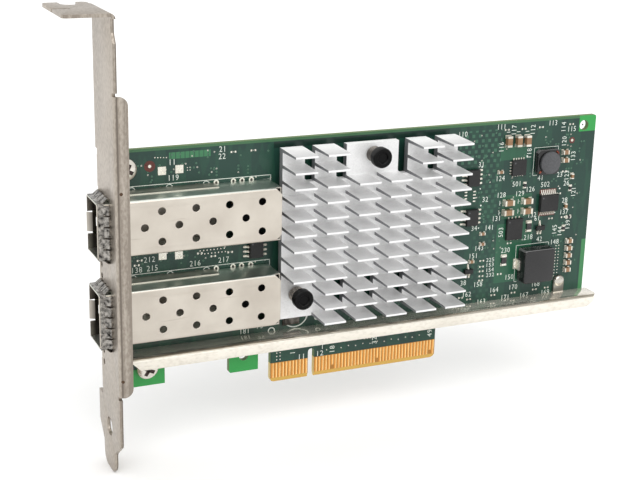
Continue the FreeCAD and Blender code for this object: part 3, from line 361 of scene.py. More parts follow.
@dataclass(frozen=True)
class ContactGold(Finish):
    """Gold on the contact fingers, with a painted highlight: a bright band down each finger's
    middle between deeper yellow sides.
    """

    # Painted highlight: tint is the bright band down each finger's middle.
    tint: Colour = (255, 216, 150)
    side: Colour = (222, 152, 74)
    worn: Colour = (206, 150, 84)
    pitch: float = 1.0
    bright: float = 0.42

    def paint(self, graph: Graph) -> None:
        """Lay a painted highlight band along each finger, with faint wear along it."""
        wear = graph.noise(1500, 3, (1, 1, 0.2))
        shifted = graph.plus(graph.axis("X"), (self.bright - self.pitch) / 2 * MM)
        colour = graph.blend(graph.beat(shifted, self.pitch, self.bright), self.side, self.tint)
        colour = graph.blend(graph.spread(wear, 0, 0.45, 0.45, 0.7), colour, self.worn)
        graph.finish(Base_Color=colour, Metallic=0.8,
                     Roughness=graph.spread(graph.noise(2600, 3), 0.22, 0.36))
        graph.dent(wear, 0.06, 0.2)


@dataclass(frozen=True)
class MouthSheet(Finish):
    """Tin-plated cage floor, with painted shade on its sprung flap, deeper away from the mouth."""

    tint: Colour = (208, 202, 192)
    dull: Colour = (186, 178, 168)
    # Painted shade: dark is laid over the flap inside the cage's mouth.
    dark: Colour = (64, 60, 56)
    fade: Span = (-61.75, -60.4)
    flap_end: float = -59.3

    def paint(self, graph: Graph) -> None:
        """Lay the flap's painted shade over the sheet's broad stains."""
        grain = graph.noise(900, 4, (0.15, 1, 1))
        colour = graph.blend(graph.spread(graph.noise(90, 5), 0, 1, 0.35, 0.7), self.tint,
                             self.dull)
        # Painted shade, deepening from the mouth inward.
        near, far = (place * MM for place in self.fade)
        shade = graph.times(graph.spread(graph.axis("X"), 0.25, 0.95, near, far),
                            graph.within("X", -FAR, self.flap_end))
        graph.finish(Base_Color=graph.blend(shade, colour, self.dark), Metallic=1.0,
                     Roughness=graph.spread(grain, 0.24, 0.38))
        graph.dent(grain, 0.08, 0.2)


@dataclass(frozen=True)
class BracketNickel(Finish):
    """Nickel-plated bracket sheet: drawn streaks, with painted shade along the fold's groove and in
    two small dimples.
    """

    tint: Colour = (182, 173, 162)
    dull: Colour = (146, 137, 127)
    # The groove and dimple colours are painted shade.
    groove: Colour = (106, 98, 90)
    groove_x: Span = (-58.2, -57.85)
    dimple: Colour = (88, 70, 58)
    dimples: tuple[Span, ...] = ((-57.4, 62.2), (-57.9, 13.8))
    dimple_r: float = 0.42

    def paint(self, graph: Graph) -> None:
        """Lay streaks along the height, with painted shade in the groove and the dimples on the
        flange.
        """
        flange = graph.math("LESS_THAN", graph.facing("Y", False), -FACING)
        grain = graph.noise(1700, 3, (1, 1, 0.5))
        bands = graph.times(flange, graph.spread(graph.noise(620, 3, (1, 1, 0.02)),
                                                 0, 0.85, 0.42, 0.6))
        worn = graph.plus(graph.spread(graph.noise(60, 4), 0, 0.4, 0.35, 0.7),
                          graph.spread(grain, -0.15, 0.45, 0.38, 0.66), bands)
        colour = graph.blend(worn, self.tint, self.dull)
        # Painted shade along the fold's groove.
        groove = graph.times(flange, graph.within("X", *self.groove_x), 0.8)
        colour = graph.blend(groove, colour, self.groove)
        # Painted shade in each dimple.
        for x, z in self.dimples:
            across = graph.math("SUBTRACT", graph.axis("X"), x * MM)
            along = graph.math("SUBTRACT", graph.axis("Z"), z * MM)
            away = graph.math("SQRT", graph.plus(graph.times(across, across),
                                                 graph.times(along, along)))
            near = graph.math("LESS_THAN", away, self.dimple_r * MM)
            colour = graph.blend(graph.times(near, flange), colour, self.dimple)
        graph.finish(Base_Color=colour, Metallic=1.0, Roughness=graph.spread(grain, 0.32, 0.48))
        graph.dent(graph.plus(grain, bands), 0.12, 0.12)


@dataclass(frozen=True)
class Moulded(Finish):
    """A moulded or pressed surface: tint, fleck and a fine grain."""

    tint: Colour
    fleck: Colour
    rough: Span = (0.4, 0.55)
    grain: float = 2500.0
    dent: float = 0.25
    gloss: float = 0.5
    crest: Optional[Colour] = None

    def paint(self, graph: Graph) -> None:
        """Lay flecks of filler, a grained skin and, with an edge highlight colour, a painted
        highlight on the upper edges.
        """
        grain = graph.noise(self.grain, 5)
        cloud = graph.noise(160, 3)
        mixed = graph.plus(graph.spread(grain, 0, 0.75, 0.35, 0.75),
                           graph.spread(cloud, 0, 0.4, 0.3, 0.7))
        colour = graph.blend(mixed, self.tint, self.fleck)
        # Painted highlight: faces that tilt upward take a paler colour.
        if self.crest:
            edge = graph.between(graph.facing("Z", False), 0.3, 0.93)
            share = graph.times(edge, graph.spread(cloud, 0.6, 1.0))
            colour = graph.blend(share, colour, self.crest)
        graph.finish(Base_Color=colour, Roughness=graph.spread(grain, *self.rough),
                     Specular_IOR_Level=self.gloss)
        graph.dent(grain, self.dent, 0.05)


@dataclass(frozen=True)
class Ink(Finish):
    """Printed ink: nearly one tone, with the small skips of a screen print."""

    tint: Colour
    thin: Colour

    def paint(self, graph: Graph) -> None:
        """Lay the ink, thinner in small patches."""
        skips = graph.spread(graph.noise(5000, 3), 0, 1, 0.55, 0.75)
        graph.finish(Base_Color=graph.blend(skips, self.tint, self.thin),
                     Roughness=graph.spread(skips, 0.45, 0.7))


@dataclass(frozen=True)
class Clear(Finish):
    """Clear resin of a lamp, slightly clouded."""

    tint: Colour

    def paint(self, graph: Graph) -> None:
        """Lay a soft cloud under a moulded skin."""
        cloud = graph.noise(900, 3)
        colour = graph.blend(graph.spread(cloud, 0, 0.5), self.tint, (255, 255, 255))
        graph.finish(Base_Color=colour, Roughness=graph.spread(cloud, 0.12, 0.3),
                     Transmission_Weight=0.7, IOR=1.5)
        graph.dent(cloud, 0.1, 0.1)


@dataclass(frozen=True)
class Paper(Finish):
    """The studio's pale paper floor."""

    def paint(self, graph: Graph) -> None:
        """Lay faint fibres."""
        fibre = graph.noise(60, 4)
        graph.finish(Base_Color=graph.blend(fibre, (252, 252, 252), (248, 248, 248)),
                     Roughness=graph.spread(fibre, 0.7, 0.85), Specular_IOR_Level=0.1)


@dataclass(frozen=True)
class SolderMask(Finish):
    """Green solder mask: deep over copper, bright where only the laminate is below."""

    over_copper: Colour = (32, 65, 55)
    over_ground: Colour = (25, 54, 47)
    over_laminate: Colour = (46, 148, 70)
    pour: Colour = (44, 98, 70)
    pours: tuple[Zone, ...] = ((57.8, 70.0, 20.5, 38.5), (57.5, 66.2, 57.5, 61.2),
                               (59.0, 69.0, 40.0, 47.0))
    dot: Colour = (72, 122, 96)
    dot_pitch: Span = (2.1, 1.5)
    dot_share: Span = (0.42, 0.6)
    dot_fields: tuple[tuple[Zone, float], ...] = (
        ((44.0, 57.7, 56.6, 66.8), 0.5), ((51.5, 57.2, 40.0, 56.6), 0.32),
        ((50.0, 57.2, 15.0, 40.0), 0.16))
    # Painted shadow: shaded is laid over the shade zone, the strip of board above the heat sink.
    shaded: Colour = (18, 36, 30)
    shade: Zone = (-12.0, 40.5, 66.4, 68.1)
    rung: Colour = (58, 118, 80)
    ladder: Zone = (-40.5, -29.4, 65.7, 67.4)
    rung_pitch: float = 1.25
    rim: float = 0.7
    rim_tone: Colour = (60, 102, 68)
    hole_square: Span = (5.7, 4.7)
    far_strip: Span = (1.5, 31.0)
    strip_tone: Colour = (58, 122, 76)
    tongue: Colour = (164, 112, 44)
    tongue_top: float = 5.7
    tongue_foot: Colour = (196, 156, 70)
    foot_top: float = 1.25
    laminate: Colour = (94, 112, 66)
    layer: Colour = (78, 112, 52)
    tongue_side: Colour = (206, 184, 124)

    def dots(self, graph: Graph) -> Socket:
        """Return the staggered squares of copper that fill the board's bare corner."""
        across, rise = graph.axis("X"), graph.axis("Z")
        pitch_x, pitch_z = self.dot_pitch
        row = graph.math("FLOOR", graph.math("DIVIDE", rise, pitch_z * MM))
        shift = graph.times(graph.math("FLOORED_MODULO", row, 2.0), pitch_x / 2 * MM)
        fields = [graph.times(graph.inside(zone), share) for zone, share in self.dot_fields]
        return graph.times(graph.beat(graph.plus(across, shift), pitch_x, self.dot_share[0]),
                           graph.beat(rise, pitch_z, self.dot_share[1]), graph.plus(*fields))

    def bare(self, graph: Graph, low: Vector, high: Vector) -> Socket:
        """Return 1 where the mask lies on bare laminate: the tabs and the hole's square."""
        shoulder = box_of("stiffener_rail")[0].z - 1.2
        tabs = (low.x - 1, box_of("edge_contacts_front")[0].x - 2, -FAR, shoulder)
        wide, drop = self.hole_square
        return graph.either(graph.inside((high.x - wide, FAR, high.z - drop, FAR)),
                            graph.inside(tabs))

    def paint(self, graph: Graph) -> None:
        """Lay the mask, zoned by the copper that lies below each part of the board, with a painted
        shadow strip above the heat sink.
        """
        low, high = box_of("printed_circuit_board")
        first, last = box_of("edge_contacts_front")
        weave = graph.noise(2600, 3)
        tracks = graph.spread(graph.noise(340, 1, (1, 1, 0.22)), 0, 1, 0.5, 0.54)
        rungs = graph.plus(graph.times(graph.beat(graph.axis("X"), self.rung_pitch, 0.78), 0.55),
                           0.4)
        tongue = graph.inside((first.x - 1, last.x + 1, -FAR, self.tongue_top))
        pours = graph.either(*(graph.inside(zone) for zone in self.pours))
        foot = graph.blend(graph.within("Z", -FAR, self.foot_top), self.tongue,
                           self.tongue_foot)
        face = graph.blend(graph.spread(graph.noise(45, 4), 0, 1, 0.3, 0.7), self.over_copper,
                           self.over_ground)
        for share, shade in (
                (graph.times(tracks, 0.16), self.pour),
                (graph.times(pours, 0.6), self.pour),
                (self.dots(graph), self.dot),
                (graph.times(graph.inside(self.shade), 0.7), self.shaded),
                (graph.times(graph.inside(self.ladder), rungs), self.rung),
                (graph.within("Z", high.z - self.rim, FAR), self.rim_tone),
                (self.bare(graph, low, high), self.over_laminate),
                (graph.inside((high.x - self.far_strip[0], FAR, -FAR, self.far_strip[1])),
                 self.strip_tone),
                (tongue, foot)):
            face = graph.blend(share, face, shade)
        edge = graph.math("LESS_THAN", graph.facing("Y"), 0.9)
        layers = graph.spread(graph.noise(400, 2, (0.05, 14, 0.05)), 0, 1, 0.35, 0.65)
        side = graph.blend(tongue, graph.blend(layers, self.laminate, self.layer),
                           self.tongue_side)
        rough = graph.plus(graph.spread(weave, 0.2, 0.3), graph.times(edge, 0.3))
        graph.finish(Base_Color=graph.blend(edge, face, side), Roughness=rough,
                     Specular_IOR_Level=0.4)
        graph.dent(graph.plus(weave, graph.times(tracks, 0.6)), 0.12, 0.04)


class Stock(Enum):
    """The finishes that the card's pieces are made in."""

    MASK = SolderMask("solder_mask_green")
    GOLD = ContactGold("contact_gold")
    BRACKET = BracketNickel("bracket_nickel")
    # The cage's upward faces carry a painted highlight.
    CAGE = Metal("cage_tin", (210, 203, 192), (192, 184, 173), (0.26, 0.4), 900,
                 (0.15, 1, 1), 0.04, 0.3, roof=(228, 234, 226))
    MOUTH = MouthSheet("cage_floor_tin")
    # Painted shade: the collar's near-black dull tone, mottled in, stands in for the dark gaps
    # between its fingers.
    COLLAR = Metal("collar_spring_sheet", (170, 166, 160), (20, 19, 19), (0.1, 0.26), 1300,
                   (0.6, 1, 1), 0.9, stain=(1100.0, 4.0))
    SCREW = Metal("screw_nickel", (222, 217, 208), (168, 163, 155), (0.16, 0.3), 900)
    ALUMINIUM = SawnAluminium("sink_bare_aluminium")
    RAIL = RailPlate("rail_bright_plate")
    TIN = Metal("soldered_tin", (244, 241, 231), (204, 198, 184), (0.18, 0.36), 2500,
                dent=0.25, metallic=0.55)
    SPRING = Metal("spring_wire", (170, 164, 156), (110, 106, 102), (0.2, 0.34), 1800, dent=0.06)
    COPPER = Metal("winding_copper", (150, 84, 68), (98, 52, 42), (0.25, 0.4), 1500, dent=0.08)
    RECESS = Moulded("recess_shadow", (46, 30, 26), (66, 44, 38), (0.4, 0.6), 2000, 0.1)
    LID = Metal("crystal_lid_metal", (104, 100, 94), (40, 38, 36), (0.06, 0.16), 600,
                (0.4, 1, 1), 0.4, stain=(500.0, 3.0))
    BLACK = Moulded("package_black", (27, 27, 28), (42, 42, 42), (0.42, 0.58), gloss=0.35)
    # The pin caps carry a painted highlight on their upper edges.
    NYLON = Moulded("pin_nylon", (5, 5, 6), (12, 12, 12), (0.3, 0.42), 1400, 0.12, 0.12,
                    crest=(40, 40, 40))
    HOST = Moulded("connector_black", (20, 20, 21), (34, 34, 36), (0.4, 0.55))
    # The chokes carry a painted highlight on their upper edges.
    CHOKE = Moulded("choke_black", (24, 24, 25), (36, 36, 37), (0.16, 0.28), 2200, 0.1, 0.5,
                    crest=(112, 112, 112))
    FERRITE = Moulded("ferrite_grey", (58, 59, 61), (82, 83, 86), (0.34, 0.5), 2200, 0.3)
    BROWN = Moulded("ceramic_brown", (150, 117, 84), (128, 94, 66), (0.3, 0.42), 1800, 0.1)
    GLAZE = Moulded("resistor_glaze", (34, 32, 34), (54, 50, 52), (0.2, 0.34), 1500, 0.06)
    PAD = Moulded("pad_grey", (120, 124, 130), (140, 144, 150), (0.7, 0.85), 1200, 0.3)
    INK = Ink("legend_white", (226, 232, 224), (150, 172, 158))
    FRESH = Moulded("covered_copper", (72, 118, 94), (60, 104, 82), (0.24, 0.34), 1800, 0.08)
    # Painted shade: dark spots laid where the board's holes are.
    HOLE = Moulded("drilled_dark", (30, 34, 26), (52, 46, 34), (0.5, 0.7), 1800, 0.2)
    FIDUCIAL = Moulded("bare_ring_brown", (96, 40, 30), (76, 34, 26), (0.4, 0.55), 1800, 0.1)
    LAMP = Clear("lamp_resin", (226, 236, 220))
    FLOOR = Paper("floor_paper")


class Store:
    """Holds each finish's material, made once."""

    made: dict[str, bpy.types.Material] = {}

    @classmethod
    def of(cls, stock: Stock) -> bpy.types.Material:
        """Return the material of a finish."""
        if stock.name not in cls.made:
            cls.made[stock.name] = stock.value.make()
        return cls.made[stock.name]


# ------------------------------------------------------------------ shapes and pieces
def box_of(node: str) -> Box:
    """Return a CAD node's lowest and highest corner."""
    low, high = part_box(node)
    return low / MM, high / MM


def middle_of(box: Box) -> Span:
    """Return the X and Z of a box's middle."""
    low, high = box
    return (low.x + high.x) / 2, (low.z + high.z) / 2


def places_of(rows: Iterable[Row]) -> list[Span]:
    """Return the places of rows, each with its count, its first place and its step."""
    return [(start[0] + index * step[0], start[1] + index * step[1])
            for count, start, step in rows for index in range(count)]


def dress(stock: Stock, *nodes: str) -> None:
    """Give CAD nodes one finish, in each of their material slots."""
    for node in nodes:
        for place in frame["nodes"][node].material_slots:
            place.material = Store.of(stock)


def merged_copy(node: str) -> Shape:
    """Return a CAD node's mesh as a shape with its loose triangles joined."""
    shape = bmesh.new()
    shape.from_mesh(frame["nodes"][node].data)
    bmesh.ops.remove_doubles(shape, verts=shape.verts, dist=1e-6)
    return shape


def solids_of(*nodes: str) -> list[Box]:
    """Return the box of each separate solid in CAD nodes, in order along X, then Z."""
    found: list[Box] = []
    for node in nodes:
        shape = merged_copy(node)
        left = set(shape.verts)
        boxes: list[Box] = []
        while left:
            group = []
            waiting = [left.pop()]
            while waiting:
                point = waiting.pop()
                group.append(point.co.copy())
                joined = {edge.other_vert(point) for edge in point.link_edges} & left
                left -= joined
                waiting.extend(joined)
            boxes.append(tuple(Vector([pick(p[i] for p in group) for i in range(3)]) / MM
                               for pick in (min, max)))
        shape.free()
        found += sorted(boxes, key=lambda box: (round(box[0].x, 2), round(box[0].z, 2)))
    return found


def placed(name: str, shape: Shape, stock: Optional[Stock] = None) -> bpy.types.Object:
    """Put a shape in the scene as an object, and free it."""
    mesh = bpy.data.meshes.new(name)
    shape.to_mesh(mesh)
    shape.free()
    piece = bpy.data.objects.new(name, mesh)
    bpy.context.scene.collection.objects.link(piece)
    if stock:
        mesh.materials.append(Store.of(stock))
    return piece


def add_piece(name: str, shape: Shape, stock: Stock,
              stands_for: Sequence[str] = (), smooth: float = 25.0) -> None:
    """Put a finished shape in the scene as a piece of the card.

    Args:
        name: The piece's name.
        shape: Its mesh, which is freed.
        stock: Its finish.
        stands_for: CAD nodes that it takes the place of.
        smooth: Edges that turn by less than this many degrees are shaded smooth.
    """
    for face in shape.faces:
        face.smooth = True
    piece = placed(name, shape, stock)
    piece.data.set_sharp_from_angle(angle=math.radians(smooth))
    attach(piece, "root")
    if stands_for:
        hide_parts(*stands_for)
    LOG.info("%s: %d faces", name, len(piece.data.polygons))


def bevel(shape: Shape, edges: Sequence[bmesh.types.BMEdge], width: float, segments: int,
          clamp: bool = False) -> None:
    """Round off edges of a shape."""
    bmesh.ops.bevel(shape, geom=edges, offset=width * MM, offset_type="OFFSET",
                    segments=segments, profile=0.5, affect="EDGES", clamp_overlap=clamp,
                    material=-1)


def eased(node: str, width: float, stock: Stock, segments: int = 2,
          least: float = 35.0) -> None:
    """Replace a CAD node with a copy whose sharp edges are rounded off.

    Args:
        node: The CAD node's name.
        width: The rounding's width.
        stock: The copy's finish.
        segments: Faces across each rounding.
        least: Edges that turn by less than this many degrees stay as they are.
    """
    shape = merged_copy(node)
    bmesh.ops.dissolve_limit(shape, angle_limit=math.radians(1), verts=shape.verts,
                             edges=shape.edges, use_dissolve_boundaries=False)
    sharp = [edge for edge in shape.edges
             if len(edge.link_faces) == 2 and edge.calc_face_angle() > math.radians(least)]
    bevel(shape, sharp, width, segments, True)
    bmesh.ops.triangulate(shape, faces=[face for face in shape.faces if len(face.verts) > 4])
    add_piece(node + "_eased", shape, stock, [node])


def arc(count: int, reach: float = QUARTER) -> list[Span]:
    """Return the sine and cosine of evenly stepped angles, from zero to a reach."""
    return [(math.sin(reach * i / count), math.cos(reach * i / count)) for i in range(count + 1)]


def turned(profile: Iterable[Span], x: float, z: float, steps: int = 48) -> Shape:
    """Spin a half profile, the radius and Y of each point, about an axis along Y."""
    shape = bmesh.new()
    points = [shape.verts.new(((x + radius) * MM, y * MM, z * MM)) for radius, y in profile]
    edges = [shape.edges.new(pair) for pair in zip(points, points[1:])]
    bmesh.ops.spin(shape, geom=points + edges, cent=(x * MM, 0, z * MM), axis=(0, 1, 0),
                   angle=2 * math.pi, steps=steps, use_merge=True)
    bmesh.ops.remove_doubles(shape, verts=shape.verts, dist=1e-7)
    bmesh.ops.recalc_face_normals(shape, faces=shape.faces)
    return shape


def pour_in(target: Shape, other: Shape) -> None:
    """Add one shape to another, and free the one that's added."""
    mesh = bpy.data.meshes.new("poured")
    other.to_mesh(mesh)
    other.free()
    target.from_mesh(mesh)
    bpy.data.meshes.remove(mesh)


def coil(x: float, y: float, z: float, radius: float, wire: float, rise: float,
         turns: float, steps: int = 28, sides: int = 10) -> Shape:
    """Wind a round wire into a helix along -Y, with closed ends.

    Args:
        x: The axis's place along X.
        y: Where the helix starts.
        z: The axis's height.
        radius: From the axis to the wire's middle.
        wire: The wire's radius.
        rise: How far the helix climbs in all.
        turns: How many turns it makes.
        steps: Straight runs a turn.
        sides: Faces round the wire.

    Returns:
        The wound shape.
    """
    shape = bmesh.new()
    count = round(turns * steps)
    place = Matrix.Translation(Vector((x + radius, y, z)) * MM)
    start = bmesh.ops.create_circle(shape, segments=sides, radius=wire * MM, matrix=place)["verts"]
    ring = shape.edges[:]
    swept = bmesh.ops.spin(shape, geom=start + ring, cent=Vector((x, y, z)) * MM,
                           axis=(0, 1, 0), dvec=(0, -rise * MM / count, 0),
                           angle=2 * math.pi * turns, steps=count)
    last = [item for item in swept["geom_last"] if isinstance(item, bmesh.types.BMVert)]
    for group in (start, last):
        bmesh.ops.contextual_create(shape, geom=group)
    bmesh.ops.recalc_face_normals(shape, faces=shape.faces)
    return shape


def slab(shape: Shape, low: Sequence[float], high: Sequence[float],
         top_share: float = 1.0) -> None:
    """Add a box between two corners, its low-Y face a share of the other's size."""
    size = [(b - a) * MM for a, b in zip(low, high)]
    middle = [(a + b) / 2 * MM for a, b in zip(low, high)]
    place = Matrix.Translation(middle) @ Matrix.Diagonal((*size, 1.0))
    points = bmesh.ops.create_cube(shape, size=1.0, matrix=place)["verts"]
    if top_share != 1.0:
        for point in points:
            if point.co.y < middle[1]:
                point.co.x = middle[0] + (point.co.x - middle[0]) * top_share
                point.co.z = middle[2] + (point.co.z - middle[2]) * top_share


def disc(shape: Shape, x: float, y: float, z: float, radius: float, depth: float,
         sides: int = 10) -> None:
    """Add a short drum along Y."""
    place = (Matrix.Translation(Vector((x, y, z)) * MM) @ Matrix.Rotation(QUARTER, 4, "X"))
    bmesh.ops.create_cone(shape, cap_ends=True, segments=sides, radius1=radius * MM,
                          radius2=radius * MM, depth=depth * MM, matrix=place)


def band(shape: Shape, x: float, y: float, z: float, inner: float, outer: float,
         depth: float, sides: int) -> None:
    """Add a flat ring that rises along -Y."""
    centre = Vector((x, y, z)) * MM
    corners = [shape.verts.new(centre + Vector((radius, rise, 0)) * MM)
               for radius, rise in ((inner, 0), (outer, 0), (outer, -depth), (inner, -depth))]
    face = shape.faces.new(corners)
    bmesh.ops.spin(shape, geom=[face] + list(face.edges) + corners, cent=centre,
                   axis=(0, -1, 0), angle=2 * math.pi, steps=sides, use_merge=True)
    bmesh.ops.delete(shape, geom=[face], context="FACES_ONLY")


def carved(shape: Shape, cutter: Shape) -> Shape:
    """Return a shape with another taken out of it; both are freed."""
    pieces = [placed("blank", shape), placed("cutter", cutter)]
    change = pieces[0].modifiers.new("carve", "BOOLEAN")
    change.operation = "DIFFERENCE"
    change.solver = "EXACT"
    change.object = pieces[1]
    bpy.context.view_layer.update()
    ready = pieces[0].evaluated_get(bpy.context.evaluated_depsgraph_get())
    mesh = bpy.data.meshes.new_from_object(ready)
    result = bmesh.new()
    result.from_mesh(mesh)
    bpy.data.meshes.remove(mesh)
    for piece in pieces:
        mesh = piece.data
        bpy.data.objects.remove(piece)
        bpy.data.meshes.remove(mesh)
    return result


# ------------------------------------------------------------------ the studio
@dataclass
class Studio:
    """The floor, the light and the camera. Angles are degrees."""

    eye: Triple = (-137.372, -309.986, 147.129)
    azimuth: float = 24.6202
    elevation: float = -16.8578
    roll: float = 1.5235
    lens: float = 73.85
    sensor: float = 36.0
    shift: Span = (-0.0153, -0.0237)
    floor_size: float = 12000.0
    floor_drop: float = 0.02
    sky: float = 1.0
    sky_tint: Triple = (1.0, 0.995, 0.985)
    sun: float = 1.2
    sun_spread: float = 55.0
    sun_turn: Triple = (42.0, -14.0, 6.0)

    def build_floor(self) -> None:
        """Lay a wide pale floor under the bracket's foot."""
        shape = bmesh.new()
        place = Matrix.Translation((0, 0, cad_box[0][2] - self.floor_drop * MM))
        bmesh.ops.create_grid(shape, x_segments=4, y_segments=4,
                              size=self.floor_size * MM / 2, matrix=place)
        placed("studio_floor", shape, Stock.FLOOR)

    def build_light(self) -> None:
        """Light the card with a pale sky and one broad soft sun."""
        world = bpy.data.worlds.new("studio_sky")
        world.use_nodes = True
        sky = world.node_tree.nodes["Background"]
        sky.inputs["Color"].default_value = (*self.sky_tint, 1.0)
        sky.inputs["Strength"].default_value = self.sky
        bpy.context.scene.world = world
        lamp = bpy.data.lights.new("soft_sun", "SUN")
        lamp.energy = self.sun
        lamp.angle = math.radians(self.sun_spread)
        holder = bpy.data.objects.new("soft_sun", lamp)
        holder.rotation_euler = [math.radians(angle) for angle in self.sun_turn]
        bpy.context.scene.collection.objects.link(holder)

    def build_camera(self) -> None:
        """Stand the camera in front of the card, above it and to its left."""
        turn, lift, tilt = (math.radians(a) for a in (self.azimuth, self.elevation, self.roll))
        ahead = Vector((math.sin(turn) * math.cos(lift), math.cos(turn) * math.cos(lift),
                        math.sin(lift)))
        level = Vector((math.cos(turn), -math.sin(turn), 0))
        over = level.cross(ahead)
        right = level * math.cos(tilt) + over * math.sin(tilt)
        top = over * math.cos(tilt) - level * math.sin(tilt)
        lens = bpy.data.cameras.new("camera")
        lens.lens = self.lens
        lens.sensor_width = self.sensor
        lens.shift_x, lens.shift_y = self.shift
        lens.clip_start = 0.01
        lens.clip_end = 50.0
        camera = bpy.data.objects.new("camera", lens)
        pose = Matrix((right, top, -ahead)).transposed().to_4x4()
        pose.translation = Vector(self.eye) * MM
        camera.matrix_world = pose
        bpy.context.scene.collection.objects.link(camera)
        bpy.context.scene.camera = camera

    def build(self) -> None:
        """Set up the whole studio."""
        self.build_floor()
        self.build_light()
        self.build_camera()
        bpy.context.scene.view_settings.view_transform = "Standard"


# ------------------------------------------------------------------ sheet metal and fasteners
PORTS = ("upper", "lower")


@dataclass
class SheetMetal:
    """The bracket, the rail, the cages and their collars."""

    sheet_round: float = 0.16
    cage_round: float = 0.05

    def dress(self) -> None:
        """Ease the sheets' edges and give them their plating."""
        eased("bracket", self.sheet_round, Stock.BRACKET)
        eased("stiffener_rail", self.sheet_round, Stock.RAIL)
        for port in PORTS:
            eased("cage_shell_" + port, self.cage_round, Stock.CAGE, segments=1)
            dress(Stock.MOUTH, "cage_base_" + port)
            dress(Stock.COLLAR, "spring_collar_" + port)


@dataclass
class Screws:
    """The two pan-head screws with cross recesses, each tip ridged as a thread is."""

    head_r: float = 3.0
    head_high: float = 2.1
    rim: float = 0.55
    shank_r: float = 1.5
    thread_from: float = 1.7
    thread_pitch: float = 0.5
    root_share: float = 0.86
    arm: float = 1.8
    arm_wide: float = 1.0
    recess: float = 1.2
    turn: float = 28.0
    lining_gap: float = 0.02
    lining_thick: float = 0.05

    def profile(self, tip: float) -> list[Span]:
        """Return the half profile of a screw whose tip is at a given Y."""
        root = self.shank_r * self.root_share
        points = [(self.head_r * sine, -self.rim - (self.head_high - self.rim) * cosine)
                  for sine, cosine in arc(8)]
        points += [(self.head_r, 0), (self.shank_r, 0)]
        y = self.thread_from
        while y < tip - self.thread_pitch:
            points += [(self.shank_r, y), (root, y + self.thread_pitch / 2)]
            y += self.thread_pitch
        return points + [(root, tip), (0, tip)]

    def arms(self, x: float, z: float, front: float, back: float, gap: float) -> list[Shape]:
        """Return the two bars of the cross, from a front to a back, smaller by a gap."""
        bars = []
        for long, wide in ((self.arm, self.arm_wide / 2), (self.arm_wide / 2, self.arm)):
            bar = bmesh.new()
            slab(bar, (x - long + gap, front, z - wide + gap),
                 (x + long - gap, back, z + wide - gap))
            bmesh.ops.rotate(bar, verts=bar.verts, cent=(x * MM, 0, z * MM),
                             matrix=Matrix.Rotation(math.radians(self.turn), 3, "Y"))
            bars.append(bar)
        return bars

    def build(self) -> None:
        """Turn the screws, cut their recesses and lay painted shade in them: thin dark crosses in
        their lower half.
        """
        both, recess_shades = bmesh.new(), bmesh.new()
        floor = self.recess - self.head_high
        for box in solids_of("bracket_screws"):
            x, z = middle_of(box)
            blank = turned(self.profile(box[1].y), x, z)
            for cutter in self.arms(x, z, -self.head_high - 1, floor, 0.0):
                blank = carved(blank, cutter)
            pour_in(both, blank)
            # Painted shade: dark crosses fill the lower half of each recess.
            for bar in self.arms(x, z, floor - self.recess / 2, floor + self.lining_thick,
                                 self.lining_gap):
                pour_in(recess_shades, bar)
        add_piece("bracket_screws_turned", both, Stock.SCREW, ["bracket_screws"])
        add_piece("screw_recess_lining", recess_shades, Stock.RECESS)


@dataclass
class Rivets:
    """The rail's two dome-headed rivets."""

    head_r: float = 1.7
    head_high: float = 0.75
    shank_r: float = 0.88

    def build(self) -> None:
        """Turn the rivets, domed in front and upset behind."""
        both = bmesh.new()
        for low, high in solids_of("rail_rivets"):
            front, back = low.y + self.head_high, high.y - self.head_high
            dome = [(self.head_r * sine, front - self.head_high * cosine)
                    for sine, cosine in arc(8)]
            foot = [(self.head_r * cosine, back + self.head_high * sine)
                    for sine, cosine in arc(5)]
            shank = [(self.shank_r, front), (self.shank_r, back)]
            pour_in(both, turned(dome + shank + foot, *middle_of((low, high))))
        add_piece("rail_rivets_turned", both, Stock.SCREW, ["rail_rivets"])


